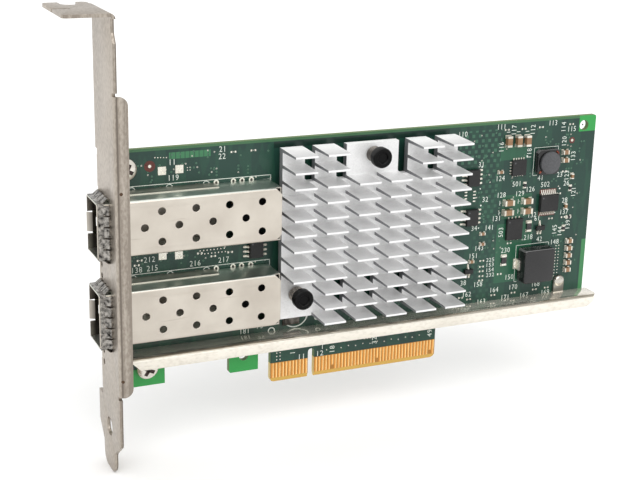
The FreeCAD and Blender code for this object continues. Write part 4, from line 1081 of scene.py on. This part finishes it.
# ------------------------------------------------------------------ the cooling
@dataclass
class Cooling:
    """The heat sink with its push pins, springs and pad, and the controller below it."""

    fin_round: float = 0.05
    cap_r: float = 2.75
    cap_high: float = 2.2
    cap_round: float = 0.4
    cap_ease: float = 0.1
    recess_r: float = 1.5
    recess: float = 0.5
    recess_ease: float = 0.12
    shank_r: float = 1.3
    barb_r: float = 1.75
    barb_long: float = 2.3
    barb_ledge: float = 0.5
    tip_r: float = 0.8
    slot: float = 0.6
    coil_r: float = 1.95
    wire_r: float = 0.24
    turns: float = 4.0

    def pin_profile(self, front: float, tip: float) -> list[Span]:
        """Return a push pin's half profile between its cap's front and its tip."""
        back = front + self.cap_high
        catch = tip - self.barb_long
        edge = [(self.cap_r - self.cap_round * (1 - sine), front + self.cap_round * (1 - cosine))
                for sine, cosine in arc(5)]
        return [(0, front + self.recess), (self.recess_r - self.recess_ease, front + self.recess),
                (self.recess_r, front + self.recess_ease),
                (self.recess_r + self.recess_ease, front), *edge,
                (self.cap_r, back - self.cap_ease), (self.cap_r - self.cap_ease, back),
                (self.shank_r, back), (self.shank_r, catch), (self.barb_r, catch),
                (self.barb_r, catch + self.barb_ledge), (self.tip_r, tip), (0, tip)]

    def build_pins(self) -> None:
        """Turn the push pins and slit their barbed ends."""
        both = bmesh.new()
        for low, high in solids_of("push_pins"):
            x, z = middle_of((low, high))
            slit = bmesh.new()
            reach = self.barb_r + 0.3
            slab(slit, (x - self.slot / 2, 0, z - reach),
                 (x + self.slot / 2, high.y + 1, z + reach))
            pour_in(both, carved(turned(self.pin_profile(low.y, high.y), x, z), slit))
        add_piece("push_pins_turned", both, Stock.NYLON, ["push_pins"])

    def build_springs(self) -> None:
        """Wind the springs that stand under the pins' caps."""
        both = bmesh.new()
        for low, high in solids_of("pin_springs"):
            x, z = middle_of((low, high))
            pour_in(both, coil(x, high.y - self.wire_r, z, self.coil_r, self.wire_r,
                               high.y - low.y - 2 * self.wire_r, self.turns))
        add_piece("pin_springs_wound", both, Stock.SPRING, ["pin_springs"], 50)

    def build(self) -> None:
        """Finish the heat sink and build what holds it."""
        eased("heat_sink", self.fin_round, Stock.ALUMINIUM, segments=1)
        dress(Stock.PAD, "thermal_pad")
        dress(Stock.BLACK, "controller_chip")
        self.build_pins()
        self.build_springs()


# ------------------------------------------------------------------ components on the board
PACKAGES = ("memory_chips", "driver_chip", "regulator_chip", "power_switch")


@dataclass
class Components:
    """Packages, inductors, capacitors, resistors, crystal and lamps."""

    package_round: float = 0.06
    cap_round: float = 0.07
    inductor_round: float = 0.45
    crystal_round: float = 0.12
    host_round: float = 0.15
    block_corner: float = 0.9
    block_round: float = 0.1
    winding_wire: float = 0.1
    winding_in: float = 0.35
    flange_r: float = 3.3
    flange_thick: float = 0.75
    flange_ease: Triple = (0.25, 0.07, 0.05)    # front, its middle step, back
    neck_long: float = 0.5
    wire_end_r: float = 0.4
    wire_end_share: float = 0.74
    dimple_r: float = 0.27
    dimple_in: Span = (0.8, 0.85)

    def build_block(self, box: Box, top: float) -> None:
        """Build the drum inductor's black block, its corners cut and its edges eased."""
        low, high = box
        block = bmesh.new()
        slab(block, (low.x, top, low.z), high)
        upright = [edge for edge in block.edges
                   if abs(edge.verts[0].co.y - edge.verts[1].co.y) > 0.5 * MM]
        bevel(block, upright, self.block_corner, 1)
        bevel(block, block.edges[:], self.block_round, 2)
        add_piece("drum_block", block, Stock.CHOKE, ["drum_inductor"])

    def build_drum(self) -> None:
        """Build the drum inductor: block, dark winding, grey front flange, bare wire ends."""
        box = box_of("drum_inductor")
        x, z = middle_of(box)
        front = box[0].y
        neck = front + self.flange_thick
        top = neck + self.neck_long
        self.build_block(box, top)
        edge = self.flange_r
        ease, step, lip = self.flange_ease
        flange = turned([(0, front), (edge - ease, front), (edge - step, front + step),
                         (edge, front + ease), (edge, neck - lip), (edge - lip, neck),
                         (0, neck)], x, z)
        add_piece("drum_flange", flange, Stock.FERRITE)
        wire = self.winding_wire
        wound = coil(x, top - wire, z, edge - self.winding_in, wire, self.neck_long - 2 * wire,
                     self.neck_long / (2 * wire), 36, 8)
        add_piece("drum_winding", wound, Stock.CHOKE, smooth=60)
        ends = bmesh.new()
        for side in (-1, 1):
            out = side * (box[1].x - box[0].x) / 2 * self.wire_end_share
            place = (Matrix.Translation(Vector((x + out, top, z + out)) * MM)
                     @ Matrix.Rotation(math.pi / 4 * side, 4, "Y")
                     @ Matrix.Diagonal((1.7, 0.9, 0.9, 1.0)))
            bmesh.ops.create_uvsphere(ends, u_segments=12, v_segments=8,
                                      radius=self.wire_end_r * MM, matrix=place)
        add_piece("drum_wire_ends", ends, Stock.COPPER, smooth=60)

    def build_dimples(self) -> None:
        """Press the small round mark beside the first lead of each package."""
        marks = bmesh.new()
        across, down = self.dimple_in
        for low, high in solids_of(*PACKAGES):
            disc(marks, low.x + across, low.y - 0.002, high.z - down, self.dimple_r, 0.01, 16)
        add_piece("package_dimples", marks, Stock.FERRITE)

    def build(self) -> None:
        """Finish every mounted component."""
        for node in (*PACKAGES, "small_transistors"):
            eased(node, self.package_round, Stock.BLACK, segments=1, least=15)
        dress(Stock.BROWN, "large_capacitors", "medium_capacitors", "small_capacitors")
        dress(Stock.GLAZE, "chip_resistors")
        eased("component_end_caps", self.cap_round, Stock.TIN)
        dress(Stock.TIN, "package_leads", "inductor_terminals")
        eased("power_inductor", self.inductor_round, Stock.CHOKE, segments=3)
        eased("crystal", self.crystal_round, Stock.LID)
        dress(Stock.LAMP, "status_lamps")
        for port in PORTS:
            eased("host_connector_" + port, self.host_round, Stock.HOST)
        self.build_drum()
        self.build_dimples()


# ------------------------------------------------------------------ the board's printed side
class Side(Enum):
    """The two faces of the board: which way each faces along Y."""

    FRONT = -1
    BACK = 1


class Way(Enum):
    """How a numeral is read: level, or climbing the board."""

    LEVEL = 0
    CLIMBING = 1


@dataclass(frozen=True)
class Print:
    """Numerals printed alike: each one's number, X and Z, and how they read and how big."""

    marks: tuple[tuple[int, float, float], ...]
    way: Way = Way.LEVEL
    high: float = 1.5
    digit: float = 0.98


class Face:
    """Adds flat and raised details to one shape on a face of the board, at an X and a Z."""

    INK = 0.03
    SUNK = 0.01         # how far a tile starts below the face
    THINNING = 0.006
    SPACING = 1.1
    ADVANCE = 0.51      # the room of one digit before it is scaled, and its height
    DIGIT_HIGH = 0.688

    def __init__(self, side: Side) -> None:
        """Start an empty shape on the plane of one of the board's faces."""
        low, high = box_of("printed_circuit_board")
        self.shape = bmesh.new()
        self.side = side
        self.plane = low.y if side is Side.FRONT else high.y

    def levels(self, thick: float) -> list[float]:
        """Return the lowest and highest Y of a tile of some thickness."""
        return sorted(self.plane + self.side.value * rise for rise in (-self.SUNK, thick))

    def tile(self, x: float, z: float, wide: float, high: float,
             thick: float = 0.04, top_share: float = 1.0) -> None:
        """Add a flat tile, or a low pyramid, centred at a place on the face."""
        near, far = self.levels(thick)
        slab(self.shape, (x - wide / 2, near, z - high / 2), (x + wide / 2, far, z + high / 2),
             top_share)

    def spot(self, x: float, z: float, radius: float, thick: float = 0.04,
             sides: int = 10) -> None:
        """Add a round tile centred at a place on the face."""
        near, far = self.levels(thick)
        disc(self.shape, x, (near + far) / 2, z, radius, far - near, sides)

    def bead(self, x: float, z: float, radius: float, high: float,
             steps: int = 10) -> None:
        """Add a low round bead of solder."""
        place = (Matrix.Translation(Vector((x, self.plane, z)) * MM)
                 @ Matrix.Diagonal((radius * MM, high * MM, radius * MM, 1.0))
                 @ Matrix.Rotation(QUARTER, 4, "X"))
        bmesh.ops.create_uvsphere(self.shape, u_segments=steps, v_segments=6, radius=1.0,
                                  matrix=place)

    def ring(self, x: float, z: float, inner: float, outer: float,
             thick: float = 0.04, sides: int = 16) -> None:
        """Add a flat ring."""
        near, far = self.levels(thick)
        band(self.shape, x, far, z, inner, outer, far - near, sides)

    def numerals(self, group: Print) -> None:
        """Print a group of numbers on the face."""
        turn = Matrix.Rotation(QUARTER, 4, "X") @ Matrix.Rotation(QUARTER * group.way.value, 4, "Z")
        if self.side is Side.BACK:
            turn = Matrix.Rotation(math.pi, 4, "Z") @ turn
        scale = Vector((group.digit / self.ADVANCE, group.high / self.DIGIT_HIGH, 2 * self.INK))
        for number, x, z in group.marks:
            curve = bpy.data.curves.new("numeral", "FONT")
            curve.body = str(number)
            curve.resolution_u = 2
            curve.extrude = 0.5
            curve.offset = -self.THINNING
            curve.space_character = self.SPACING
            holder = bpy.data.objects.new("numeral", curve)
            mesh = bpy.data.meshes.new_from_object(holder)
            spans = [[getattr(v.co, part) for v in mesh.vertices] for part in "xy"]
            middle = [(min(span) + max(span)) / 2 for span in spans]
            mesh.transform(Matrix.Translation(Vector((x, self.plane, z)) * MM) @ turn
                           @ Matrix.Diagonal((*scale * MM, 1.0))
                           @ Matrix.Translation((-middle[0], -middle[1], 0)))
            self.shape.from_mesh(mesh)
            bpy.data.meshes.remove(mesh)
            bpy.data.objects.remove(holder)
            bpy.data.curves.remove(curve)

    def line(self, start: Span, end: Span, wide: float = 0.16) -> None:
        """Print a straight line, level or upright, between two places."""
        self.tile((start[0] + end[0]) / 2, (start[1] + end[1]) / 2,
                  abs(end[0] - start[0]) + wide, abs(end[1] - start[1]) + wide, self.INK)

    def outline(self, node: str, margin: float, foot: float) -> None:
        """Print an outline over and left of a part, with a short foot and a short right end."""
        low, high = box_of(node)
        x0, x1, z0, z1 = low.x - margin, high.x + margin, low.z - margin, high.z + margin
        for start, end in (((x0, z1), (x1, z1)), ((x0, z0), (x0, z1)),
                           ((x0, z0), (x0 + foot, z0)), ((x1, z1 - foot), (x1, z1))):
            self.line(start, end, 0.13)


@dataclass
class Legend:
    """The white print: part numerals, outlines and frames. Places are X and Z."""

    parts: tuple[Print, ...] = (
        Print((
            (111, 57.2, 67.4), (113, 74.5, 67.4), (115, 81.1, 65.2), (110, 44.9, 66.1),
            (31, 51.2, 56.9), (124, 58.0, 52.3), (501, 63.4, 50.2), (41, 71.3, 51.3),
            (23, 78.0, 51.8), (502, 73.3, 49.2), (26, 80.6, 49.0), (126, 68.4, 48.2),
            (128, 58.7, 47.3), (129, 64.9, 47.2), (32, 53.3, 46.5), (131, 57.4, 40.4),
            (132, 69.6, 40.3), (61, 71.2, 39.1), (218, 68.7, 33.6), (42, 72.6, 32.6),
            (34, 50.2, 38.2), (141, 55.2, 37.9), (143, 52.3, 32.0), (151, 50.4, 29.8),
            (158, 52.7, 20.9), (230, 61.2, 30.4), (28, 80.5, 43.8), (137, 80.7, 40.2),
            (148, 78.2, 31.2), (150, 63.2, 21.9), (38, 47.6, 21.9), (164, 58.3, 18.5),
            (170, 64.8, 18.6), (168, 72.6, 18.6), (171, 62.1, 15.7), (167, 68.8, 15.6),
            (169, 76.2, 15.6), (162, 49.1, 18.2), (163, 54.1, 15.4), (176, 44.6, 16.4),
            (75, -15.4, 17.2), (181, -19.8, 16.3), (21, -26.3, 67.3), (22, -26.3, 65.4),
            (11, -39.7, 64.9), (119, -39.3, 60.8), (212, -46.0, 39.6), (138, -49.3, 37.1),
            (215, -45.3, 37.2), (216, -33.7, 37.2), (217, -25.8, 37.3), (77, -14.0, 57.6))),
        Print((
            (117, 61.4, 66.3), (112, 67.7, 66.0), (114, 78.1, 66.1), (120, 78.7, 61.8),
            (116, 57.6, 61.6), (118, 67.0, 59.1), (133, 82.2, 57.1), (123, 80.5, 51.4),
            (121, 83.3, 46.0), (503, 59.2, 36.0), (139, 82.2, 36.2), (145, 77.7, 35.1),
            (144, 79.6, 34.4)), Way.CLIMBING),
        Print((
            (225, 56.2, 28.0), (153, 56.3, 26.45), (154, 56.4, 24.9), (232, 56.5, 23.35)),
              high=1.15, digit=0.9))
    tongue: tuple[Print, ...] = (
        Print((
            (11, -2.9, 6.4), (12, 2.8, 6.6), (1, 3.4, 8.5)), digit=1.15),
        Print((
            (18, 6.4, 7.4), (32, 19.5, 8.1), (49, 37.3, 7.8), (1, -5.6, 7.9)),
              Way.CLIMBING, digit=1.15))
    back: tuple[Print, ...] = (
        Print((
            (301, -8.0, 60.0), (302, 12.0, 28.5), (320, 55.0, 60.5), (321, 55.0, 45.0),
            (333, 70.0, 40.2), (334, 78.0, 57.0), (345, 66.0, 26.0), (350, -35.0, 40.0),
            (351, -35.0, 62.5), (36, 0.0, 17.5), (37, 25.0, 17.5), (49, 37.0, 7.8),
            (1, -10.5, 7.8))),
        Print((
            (311, 32.0, 47.0), (312, 36.0, 47.0)), Way.CLIMBING))
    cage_margin: float = 0.75
    cage_inset: float = 5.0
    cage_end: float = -12.8
    cage_hook: float = 2.2
    arcs: Span = (0.8, 0.96)
    arc_x: Triple = (-50.4, -40.5, -30.6)
    # Painted highlight: white rings round the crystal.
    crystal_rings: tuple[Triple, ...] = ((-5.1, 19.4, 3.65), (-12.0, 15.3, 0.75),
                                         (1.4, 17.5, 0.45))
    chip_spots: tuple[tuple[str, float], ...] = (("memory_chips", 3.6), ("driver_chip", 3.4))
    loose_spots: tuple[Span, ...] = ((78.4, 47.5), (66.4, 58.2), (66.6, 40.6), (51.6, 56.2),
                                     (51.9, 44.8))
    bar_from: Span = (2.7, 2.6)     # from a large capacitor's middle, level or upright
    bar_half: Span = (0.6, 0.5)
    bar_foot: float = 0.4

    def frame_cages(self, face: Face) -> None:
        """Print the line over each cage, and the arcs beside its tails."""
        for port in PORTS:
            low, high = box_of("cage_base_" + port)
            level = high.z + self.cage_margin
            end = (self.cage_end, level)
            face.line((low.x + self.cage_inset, level), end)
            face.line(end, (self.cage_end, level - self.cage_hook))
            for x in self.arc_x:
                face.ring(x, high.z - 0.35, *self.arcs, face.INK)

    def frame_parts(self, face: Face) -> None:
        """Print the outlines of the larger parts, the painted highlight rings round the crystal and
        the bars beside the capacitors.
        """
        face.outline("drum_inductor", 0.4, 1.4)
        face.outline("power_inductor", 0.5, 0.8)
        # Painted highlight rings round the crystal, laid in the legend's ink.
        for x, z, radius in self.crystal_rings:
            face.ring(x, z, radius, radius + 0.3, face.INK, 40)
        for low, high in solids_of("large_capacitors"):
            x, z = middle_of((low, high))
            upright = high.x - low.x < high.z - low.z
            away, half = self.bar_from[upright], self.bar_half[upright]
            if upright:
                face.line((x - half, z + away), (x + half, z + away))
            else:
                face.line((x - away, z - half), (x - away, z + half))
                face.line((x - away, z), (x - away + self.bar_foot, z), 0.12)
        for node, step in self.chip_spots:
            for box in solids_of(node):
                x, z = middle_of(box)
                face.spot(x + 2.9, z - step, 0.2, face.INK)
        for x, z in self.loose_spots:
            face.spot(x, z, 0.26, face.INK)

    def build(self) -> None:
        """Print both faces of the board."""
        front, behind = Face(Side.FRONT), Face(Side.BACK)
        for face, groups in ((front, self.parts + self.tongue), (behind, self.back)):
            for group in groups:
                face.numerals(group)
        self.frame_cages(front)
        self.frame_parts(front)
        add_piece("board_legend_front", front.shape, Stock.INK)
        add_piece("board_legend_back", behind.shape, Stock.INK)


@dataclass
class Solder:
    """Pads, fillets and beads of solder on the component side.

    A pad is given by its width, height and thickness, and a tapered one also by the share left
    at its top. A bead is given by its radius and height, and a ring by its two radii and thickness.
    """

    pad_margin: float = 0.16
    fillet: float = 0.14
    fillet_top: float = 0.8
    lead_reach: float = 0.22
    lead_side: float = 0.1
    level_bead: Span = (0.32, 0.26)
    upright_bead: Span = (0.3, 0.24)
    bead_away: float = 0.1
    fine_lead: float = 0.35
    row_reach: float = 1.5
    row_inset: float = 0.5
    unfitted: tuple[Span, ...] = (
        (59.1, 66.4), (64.7, 66.3), (70.5, 66.4), (80.8, 66.6), (53.4, 28.0), (53.4, 26.2),
        (53.4, 24.8), (53.4, 23.3), (53.4, 22.0), (57.9, 16.9), (64.8, 16.8), (72.2, 16.9),
        (76.4, 17.0), (49.7, 16.6), (-23.2, 66.3), (-17.7, 66.3), (-32.4, 39.8),
        (-28.7, 38.6), (-24.0, 39.2), (-48.6, 39.6), (-49.4, 38.4), (62.3, 32.4), (78.2, 46.0),
        (79.6, 52.6), (80.4, 38.6), (59.6, 23.2), (47.0, 17.4), (61.8, 54.2), (76.0, 38.6))
    unfitted_half: float = 0.55
    unfitted_pad: Span = (0.42, 0.5)
    dash: Span = (0.2, 0.12)
    dash_rise: float = 0.02
    squares: tuple[Span, ...] = ((-42.4, 62.8), (-37.8, 62.9), (-42.5, 40.2), (-38.1, 39.9))
    square_pad: tuple[float, ...] = (2.2, 2.2, 0.08, 0.94)
    heaps: tuple[Span, ...] = ((-0.4, -0.5), (0.35, -0.15), (-0.1, 0.45))
    heap_bead: Span = (0.5, 0.16)
    dots: tuple[tuple[float, tuple[Row, ...]], ...] = (
        (0.17, ((8, (-32.6, 41.4), (0.95, 0.0)), (8, (-32.3, 40.45), (0.95, 0.0)),
                (8, (-32.0, 39.5), (0.95, 0.0)))),
        (0.16, ((5, (-44.2, 66.4), (0.75, -0.05)), (5, (-12.8, 58.6), (0.2, -1.1)))),
        (0.13, ((2, (-35.65, 62.45), (0.7, 0.0)), (2, (-35.65, 63.15), (0.7, 0.0)))))
    bars: tuple[Row, ...] = ((4, (46.8, 46.3), (0.0, 0.95)), (4, (49.6, 46.3), (0.0, 0.95)))
    bar_pad: Triple = (0.8, 0.36, 0.05)
    terminal_away: float = 0.25
    terminal_pad: tuple[float, ...] = (1.1, 3.2, 0.1, 0.94)
    terminal_heaps: tuple[Span, ...] = ((-0.8, 0.55), (0.1, 0.65), (0.95, 0.5))
    terminal_high: float = 0.7
    leadless: tuple[tuple[str, int, bool], ...] = (
        ("regulator_chip", 5, True), ("power_switch", 4, False))
    row_share: float = 0.9
    short_away: float = 0.16        # of the joints below and right of a leadless package
    long_away: float = 0.25         # of those above and left of it
    below: Triple = (0.3, 0.34, 0.06)
    above: Triple = (0.4, 0.56, 0.1)
    left: Triple = (0.6, 0.3, 0.1)
    right: Triple = (0.34, 0.24, 0.06)
    shell_drop: float = 0.05
    shell_holes: tuple[float, ...] = (-27.9, -23.2, -20.8, -18.2)
    shell_ring: Triple = (0.34, 0.72, 0.07)
    shell_tabs: tuple[float, ...] = (-51.9, -42.7, -33.1)
    tab_drop: float = 0.1
    tab_pad: tuple[float, ...] = (1.5, 0.34, 0.2, 0.8)
    shell_dots: tuple[float, ...] = (-20.6, -16.9)
    dot_rise: float = 0.55
    dot_bead: Span = (0.2, 0.08)
    targets: tuple[Triple, ...] = ((81.4, 61.8, 0.95), (-45.6, 64.25, 1.45))
    target_r: float = 0.42

    def under_caps(self, face: Face) -> None:
        """Lay a pad and a fillet under each end cap."""
        for low, high in solids_of("component_end_caps"):
            x, z = middle_of((low, high))
            wide, deep, long = high - low
            face.tile(x, z, wide + 2 * self.pad_margin, long + 2 * self.pad_margin)
            face.tile(x, z, wide + 2 * self.fillet, long + self.fillet, deep / 2,
                      self.fillet_top)

    def under_leads(self, face: Face) -> None:
        """Lay a pad under each lead, and a bead of solder at each end of the wider ones."""
        for low, high in solids_of("package_leads"):
            x, z = middle_of((low, high))
            wide, _, long = high - low
            fine = min(wide, long) < self.fine_lead
            side = 0.0 if fine else self.lead_side
            level = wide > long
            over_x, over_z = (self.lead_reach, side) if level else (side, self.lead_reach)
            face.tile(x, z, wide + 2 * over_x, long + 2 * over_z)
            if fine:
                continue
            for end in (-1, 1):
                if level:
                    face.bead(x + end * (wide / 2 + self.bead_away), z, *self.level_bead)
                else:
                    face.bead(x, z + end * (long / 2 + self.bead_away), *self.upright_bead)

    def at_inductor(self, face: Face) -> None:
        """Heap the solder against the power inductor's two terminals."""
        low, high = box_of("inductor_terminals")
        middle = (low.z + high.z) / 2
        for x in (low.x - self.terminal_away, high.x + self.terminal_away):
            face.tile(x, middle, *self.terminal_pad)
            for rise, radius in self.terminal_heaps:
                face.bead(x, middle + rise, radius, self.terminal_high, 16)

    def round_leadless(self, face: Face) -> None:
        """Lay the row of joints that shows along the edges of the leadless packages."""
        for node, count, all_round in self.leadless:
            box = box_of(node)
            low, high = box
            x, z = middle_of(box)
            for step in range(count):
                share = ((step + 0.5) / count - 0.5) * self.row_share
                across = x + share * (high.x - low.x)
                up = z + share * (high.z - low.z)
                face.tile(across, low.z - self.short_away, *self.below)
                face.tile(across, high.z + self.long_away, *self.above)
                if all_round:
                    face.tile(low.x - self.long_away, up, *self.left)
                    face.tile(high.x + self.short_away, up, *self.right)

    def bare_pads(self, face: Face) -> None:
        """Lay the pads of places that hold no part."""
        for x, z in self.unfitted:
            for end in (-self.unfitted_half, self.unfitted_half):
                face.tile(x + end, z, *self.unfitted_pad)
            face.tile(x, z + self.dash_rise, *self.dash)
        for x, z in self.squares:
            face.tile(x, z, *self.square_pad)
            for across, up in self.heaps:
                face.bead(x + across, z + up, *self.heap_bead, 12)
        for radius, rows in self.dots:
            for x, z in places_of(rows):
                face.spot(x, z, radius)
        for x, z in places_of(self.bars):
            face.tile(x, z, *self.bar_pad)

    def at_cages(self, face: Face, dark: Face) -> None:
        """Lay the rings, beads and joints along each cage, with a painted-shade spot in each ring's
        hole.
        """
        for port in PORTS:
            level = box_of("cage_base_" + port)[1].z - self.shell_drop
            for x in self.shell_holes:
                face.ring(x, level, *self.shell_ring)
                # Painted shade: a dark spot in each ring's hole.
                dark.spot(x, level, self.shell_ring[0], 0.03)
            for x in self.shell_tabs:
                face.tile(x, level - self.tab_drop, *self.tab_pad)
            for x in self.shell_dots:
                face.bead(x, level + self.dot_rise, *self.dot_bead)

    def bare_rings(self, face: Face) -> None:
        """Lay the red-brown strips behind the many leads and the rings round the targets."""
        low, high = box_of("driver_chip")
        for z in (low.z - self.row_reach / 2, high.z + self.row_reach / 2):
            face.tile((low.x + high.x) / 2, z, high.x - low.x - self.row_inset, self.row_reach,
                      0.02)
        for x, z, outer in self.targets:
            face.ring(x, z, self.target_r, outer, 0.03, 24)

    def build(self) -> None:
        """Lay all the solder of the component side."""
        # dark holds painted shade: a dark spot in each cage ring's hole.
        tin, dark, bare = (Face(Side.FRONT) for _ in range(3))
        for lay in (self.under_caps, self.under_leads, self.at_inductor, self.round_leadless,
                    self.bare_pads):
            lay(tin)
        self.at_cages(tin, dark)
        self.bare_rings(bare)
        for x, z, _ in self.targets:
            tin.spot(x, z, self.target_r, 0.06, 16)
        add_piece("board_solder_front", tin.shape, Stock.TIN)
        add_piece("board_ring_holes", dark.shape, Stock.HOLE)
        add_piece("board_target_rings", bare.shape, Stock.FIDUCIAL)


@dataclass
class Vias:
    """The small plated holes of the board, covered by the mask or bare."""

    seed: int = 41
    outer: float = 0.27
    inner: float = 0.12
    bright_r: float = 0.17
    margin: float = 0.6
    fields: tuple[tuple[Zone, int], ...] = (
        ((43.0, 86.0, 21.0, 66.0), 150), ((-56.0, -14.0, 36.2, 42.8), 46),
        ((-56.0, -13.0, 59.8, 67.6), 40), ((-11.0, 44.0, 14.0, 20.0), 26))
    steps: tuple[Span, ...] = ((0.9, 0.0), (0.0, 0.9), (0.65, 0.65))
    hole_clear: float = 2.6
    mark_room: Span = (1.7, 1.0)
    front_only: tuple[Row, ...] = (
        (11, (78.7, 20.4), (0.0, 0.95)), (11, (79.7, 20.4), (0.0, 0.95)),
        (3, (-9.3, 6.5), (0.0, 1.0)), (3, (-10.3, 6.5), (0.0, 1.0)))
    tongue: tuple[Row, ...] = (
        (7, (4.7, 7.3), (4.5, 0.0)), (7, (6.95, 7.65), (4.5, 0.0)), (3, (16.4, 9.0), (0.9, 0.0)))
    behind: Zone = (-50, 86, 14, 66)
    behind_count: int = 220
    clear_nodes: tuple[str, ...] = (*PACKAGES, "small_transistors", "component_end_caps",
                                    "package_leads", "drum_inductor", "power_inductor")

    def blocked(self) -> list[Zone]:
        """Return the rectangles that parts and numerals take up, with a margin."""
        zones = [(low.x - self.margin, high.x + self.margin, low.z - self.margin,
                  high.z + self.margin) for low, high in solids_of(*self.clear_nodes)]
        hole = next(row for row in frame["record"]["mounts"] if row["name"] == "tooling_hole")
        x, _, z = Vector(hole["pos_m"]) / MM
        rooms = [(x, z, self.hole_clear, self.hole_clear)]
        rooms += [(x, z, 1.0, self.margin) for x, z in Solder().unfitted]
        for group in Legend().parts:
            wide, high = self.mark_room if group.way is Way.LEVEL else self.mark_room[::-1]
            rooms += [(x, z, wide, high) for _, x, z in group.marks]
        return zones + [(x - wide, x + wide, z - high, z + high) for x, z, wide, high in rooms]

    def scattered(self) -> list[Span]:
        """Return the places of the scattered holes, in short rows, clear of parts."""
        rng = random.Random(self.seed)
        blocked = self.blocked()
        places: list[Span] = []
        for (x0, x1, z0, z1), count in self.fields:
            for _ in range(count):
                x, z = rng.uniform(x0, x1), rng.uniform(z0, z1)
                run = rng.choice((1, 1, 2, 3))
                step = rng.choice(self.steps)
                for index in range(run):
                    px, pz = x + index * step[0], z + index * step[1]
                    if px < x1 and pz < z1 and not any(
                            a < px < b and c < pz < d for a, b, c, d in blocked):
                        places.append((px, pz))
        return places

    def plate(self, name: str, side: Side, covered: list[Span], bright: list[Span]) -> None:
        """Plate the holes of one face, every fourth covered one small and bright, and paint shade
        into each covered hole.
        """
        rims, plated, holes = (Face(side) for _ in range(3))
        for index, (x, z) in enumerate(covered):
            if index % 4:
                rims.spot(x, z, self.outer, 0.02, 8)
            else:
                plated.spot(x, z, self.outer * 0.75, 0.02, 8)
            # Painted shade: a dark spot in each covered hole.
            holes.spot(x, z, self.inner, 0.03, 6)
        for x, z in bright:
            plated.spot(x, z, self.bright_r, 0.03, 8)
        add_piece("vias_covered_" + name, rims.shape, Stock.FRESH)
        add_piece("vias_plated_" + name, plated.shape, Stock.TIN)
        add_piece("via_holes_" + name, holes.shape, Stock.HOLE)

    def build(self) -> None:
        """Plate the holes on both faces."""
        loose = self.scattered()
        tongue = places_of(self.tongue)
        rng = random.Random(self.seed + 1)
        x0, x1, z0, z1 = self.behind
        behind = [(rng.uniform(x0, x1), rng.uniform(z0, z1)) for _ in range(self.behind_count)]
        self.plate("front", Side.FRONT, loose, places_of(self.front_only) + tongue)
        self.plate("back", Side.BACK, behind + loose, tongue)


@dataclass
class BoardBack:
    """The solder side: joints of the cages and connectors, and small pads."""

    tail_x: Triple = (10.0, 19.2, 28.8)
    tail_z: float = 7.25
    rear_x: Span = (4.9, 9.9)
    rear_z: float = 7.0
    end_z: float = 3.5
    level_chips: tuple[Span, ...] = (
        (10.0, 36.0), (10.0, 38.6), (10.0, 41.2), (46.0, 30.0), (46.0, 33.0), (74.0, 24.0),
        (74.0, 27.0), (-20.0, 39.6), (-24.0, 39.6), (-28.0, 39.6), (30.0, 58.0), (34.0, 58.0))
    upright_chips: tuple[Span, ...] = (
        (18.5, 49.0), (21.0, 49.0), (23.5, 49.0), (62.0, 45.0), (64.6, 45.0), (0.0, 24.0),
        (2.4, 24.0), (52.0, 52.0))
    chip_half: float = 0.75
    joint_ring: Triple = (0.3, 1.0, 0.05)
    joint_bead: Span = (0.72, 0.4)
    chip_pad: Triple = (0.7, 0.9, 0.05)
    chip_bead: Span = (0.3, 0.1)

    def build(self) -> None:
        """Lay the joints and pads."""
        face = Face(Side.BACK)
        for port in PORTS:
            low, high = box_of("cage_shell_" + port)
            middle = (low.z + high.z) / 2
            joints = [(low.x + x, self.tail_z) for x in self.tail_x]
            joints += [(high.x - x, self.rear_z) for x in self.rear_x] + [(high.x, self.end_z)]
            for x, away in joints:
                for z in (middle - away, middle + away):
                    face.ring(x, z, *self.joint_ring)
                    face.bead(x, z, *self.joint_bead, 14)
        half = self.chip_half
        ends = [(x + end, z) for x, z in self.level_chips for end in (-half, half)]
        ends += [(x, z + end) for x, z in self.upright_chips for end in (-half, half)]
        for x, z in ends:
            face.tile(x, z, *self.chip_pad)
            face.bead(x, z, *self.chip_bead, 8)
        add_piece("board_solder_back", face.shape, Stock.TIN)


@dataclass
class HostContacts:
    """The rows of gold contacts that show in the mouths of the host connectors."""

    count: int = 10
    pitch: float = 0.8
    wide: float = 0.34
    thick: float = 0.2
    long: float = 2.6
    proud: float = 0.3
    rows: Span = (0.36, 0.62)

    def build(self) -> None:
        """Set two rows of contacts in each connector's mouth."""
        shape = bmesh.new()
        for port in PORTS:
            low, high = box_of("host_connector_" + port)
            for row in self.rows:
                y = low.y + (high.y - low.y) * row
                for index in range(self.count):
                    z = (low.z + high.z) / 2 + (index - (self.count - 1) / 2) * self.pitch
                    slab(shape, (low.x - self.proud, y - self.thick / 2, z - self.wide / 2),
                         (low.x + self.long, y + self.thick / 2, z + self.wide / 2))
        add_piece("host_contacts", shape, Stock.GOLD)


def main() -> None:
    """Build the studio and dress the card, sub-assembly by sub-assembly."""
    logging.basicConfig(level=logging.INFO, format="%(name)s %(message)s")
    Studio().build()
    dress(Stock.MASK, "printed_circuit_board")
    dress(Stock.GOLD, "edge_contacts_front", "edge_contacts_back")
    SheetMetal().dress()
    for part in (Screws(), Rivets(), Cooling(), Components(), Legend(), Solder(), Vias(),
                 BoardBack(), HostContacts()):
        part.build()


if __name__ == "__main__":
    main()
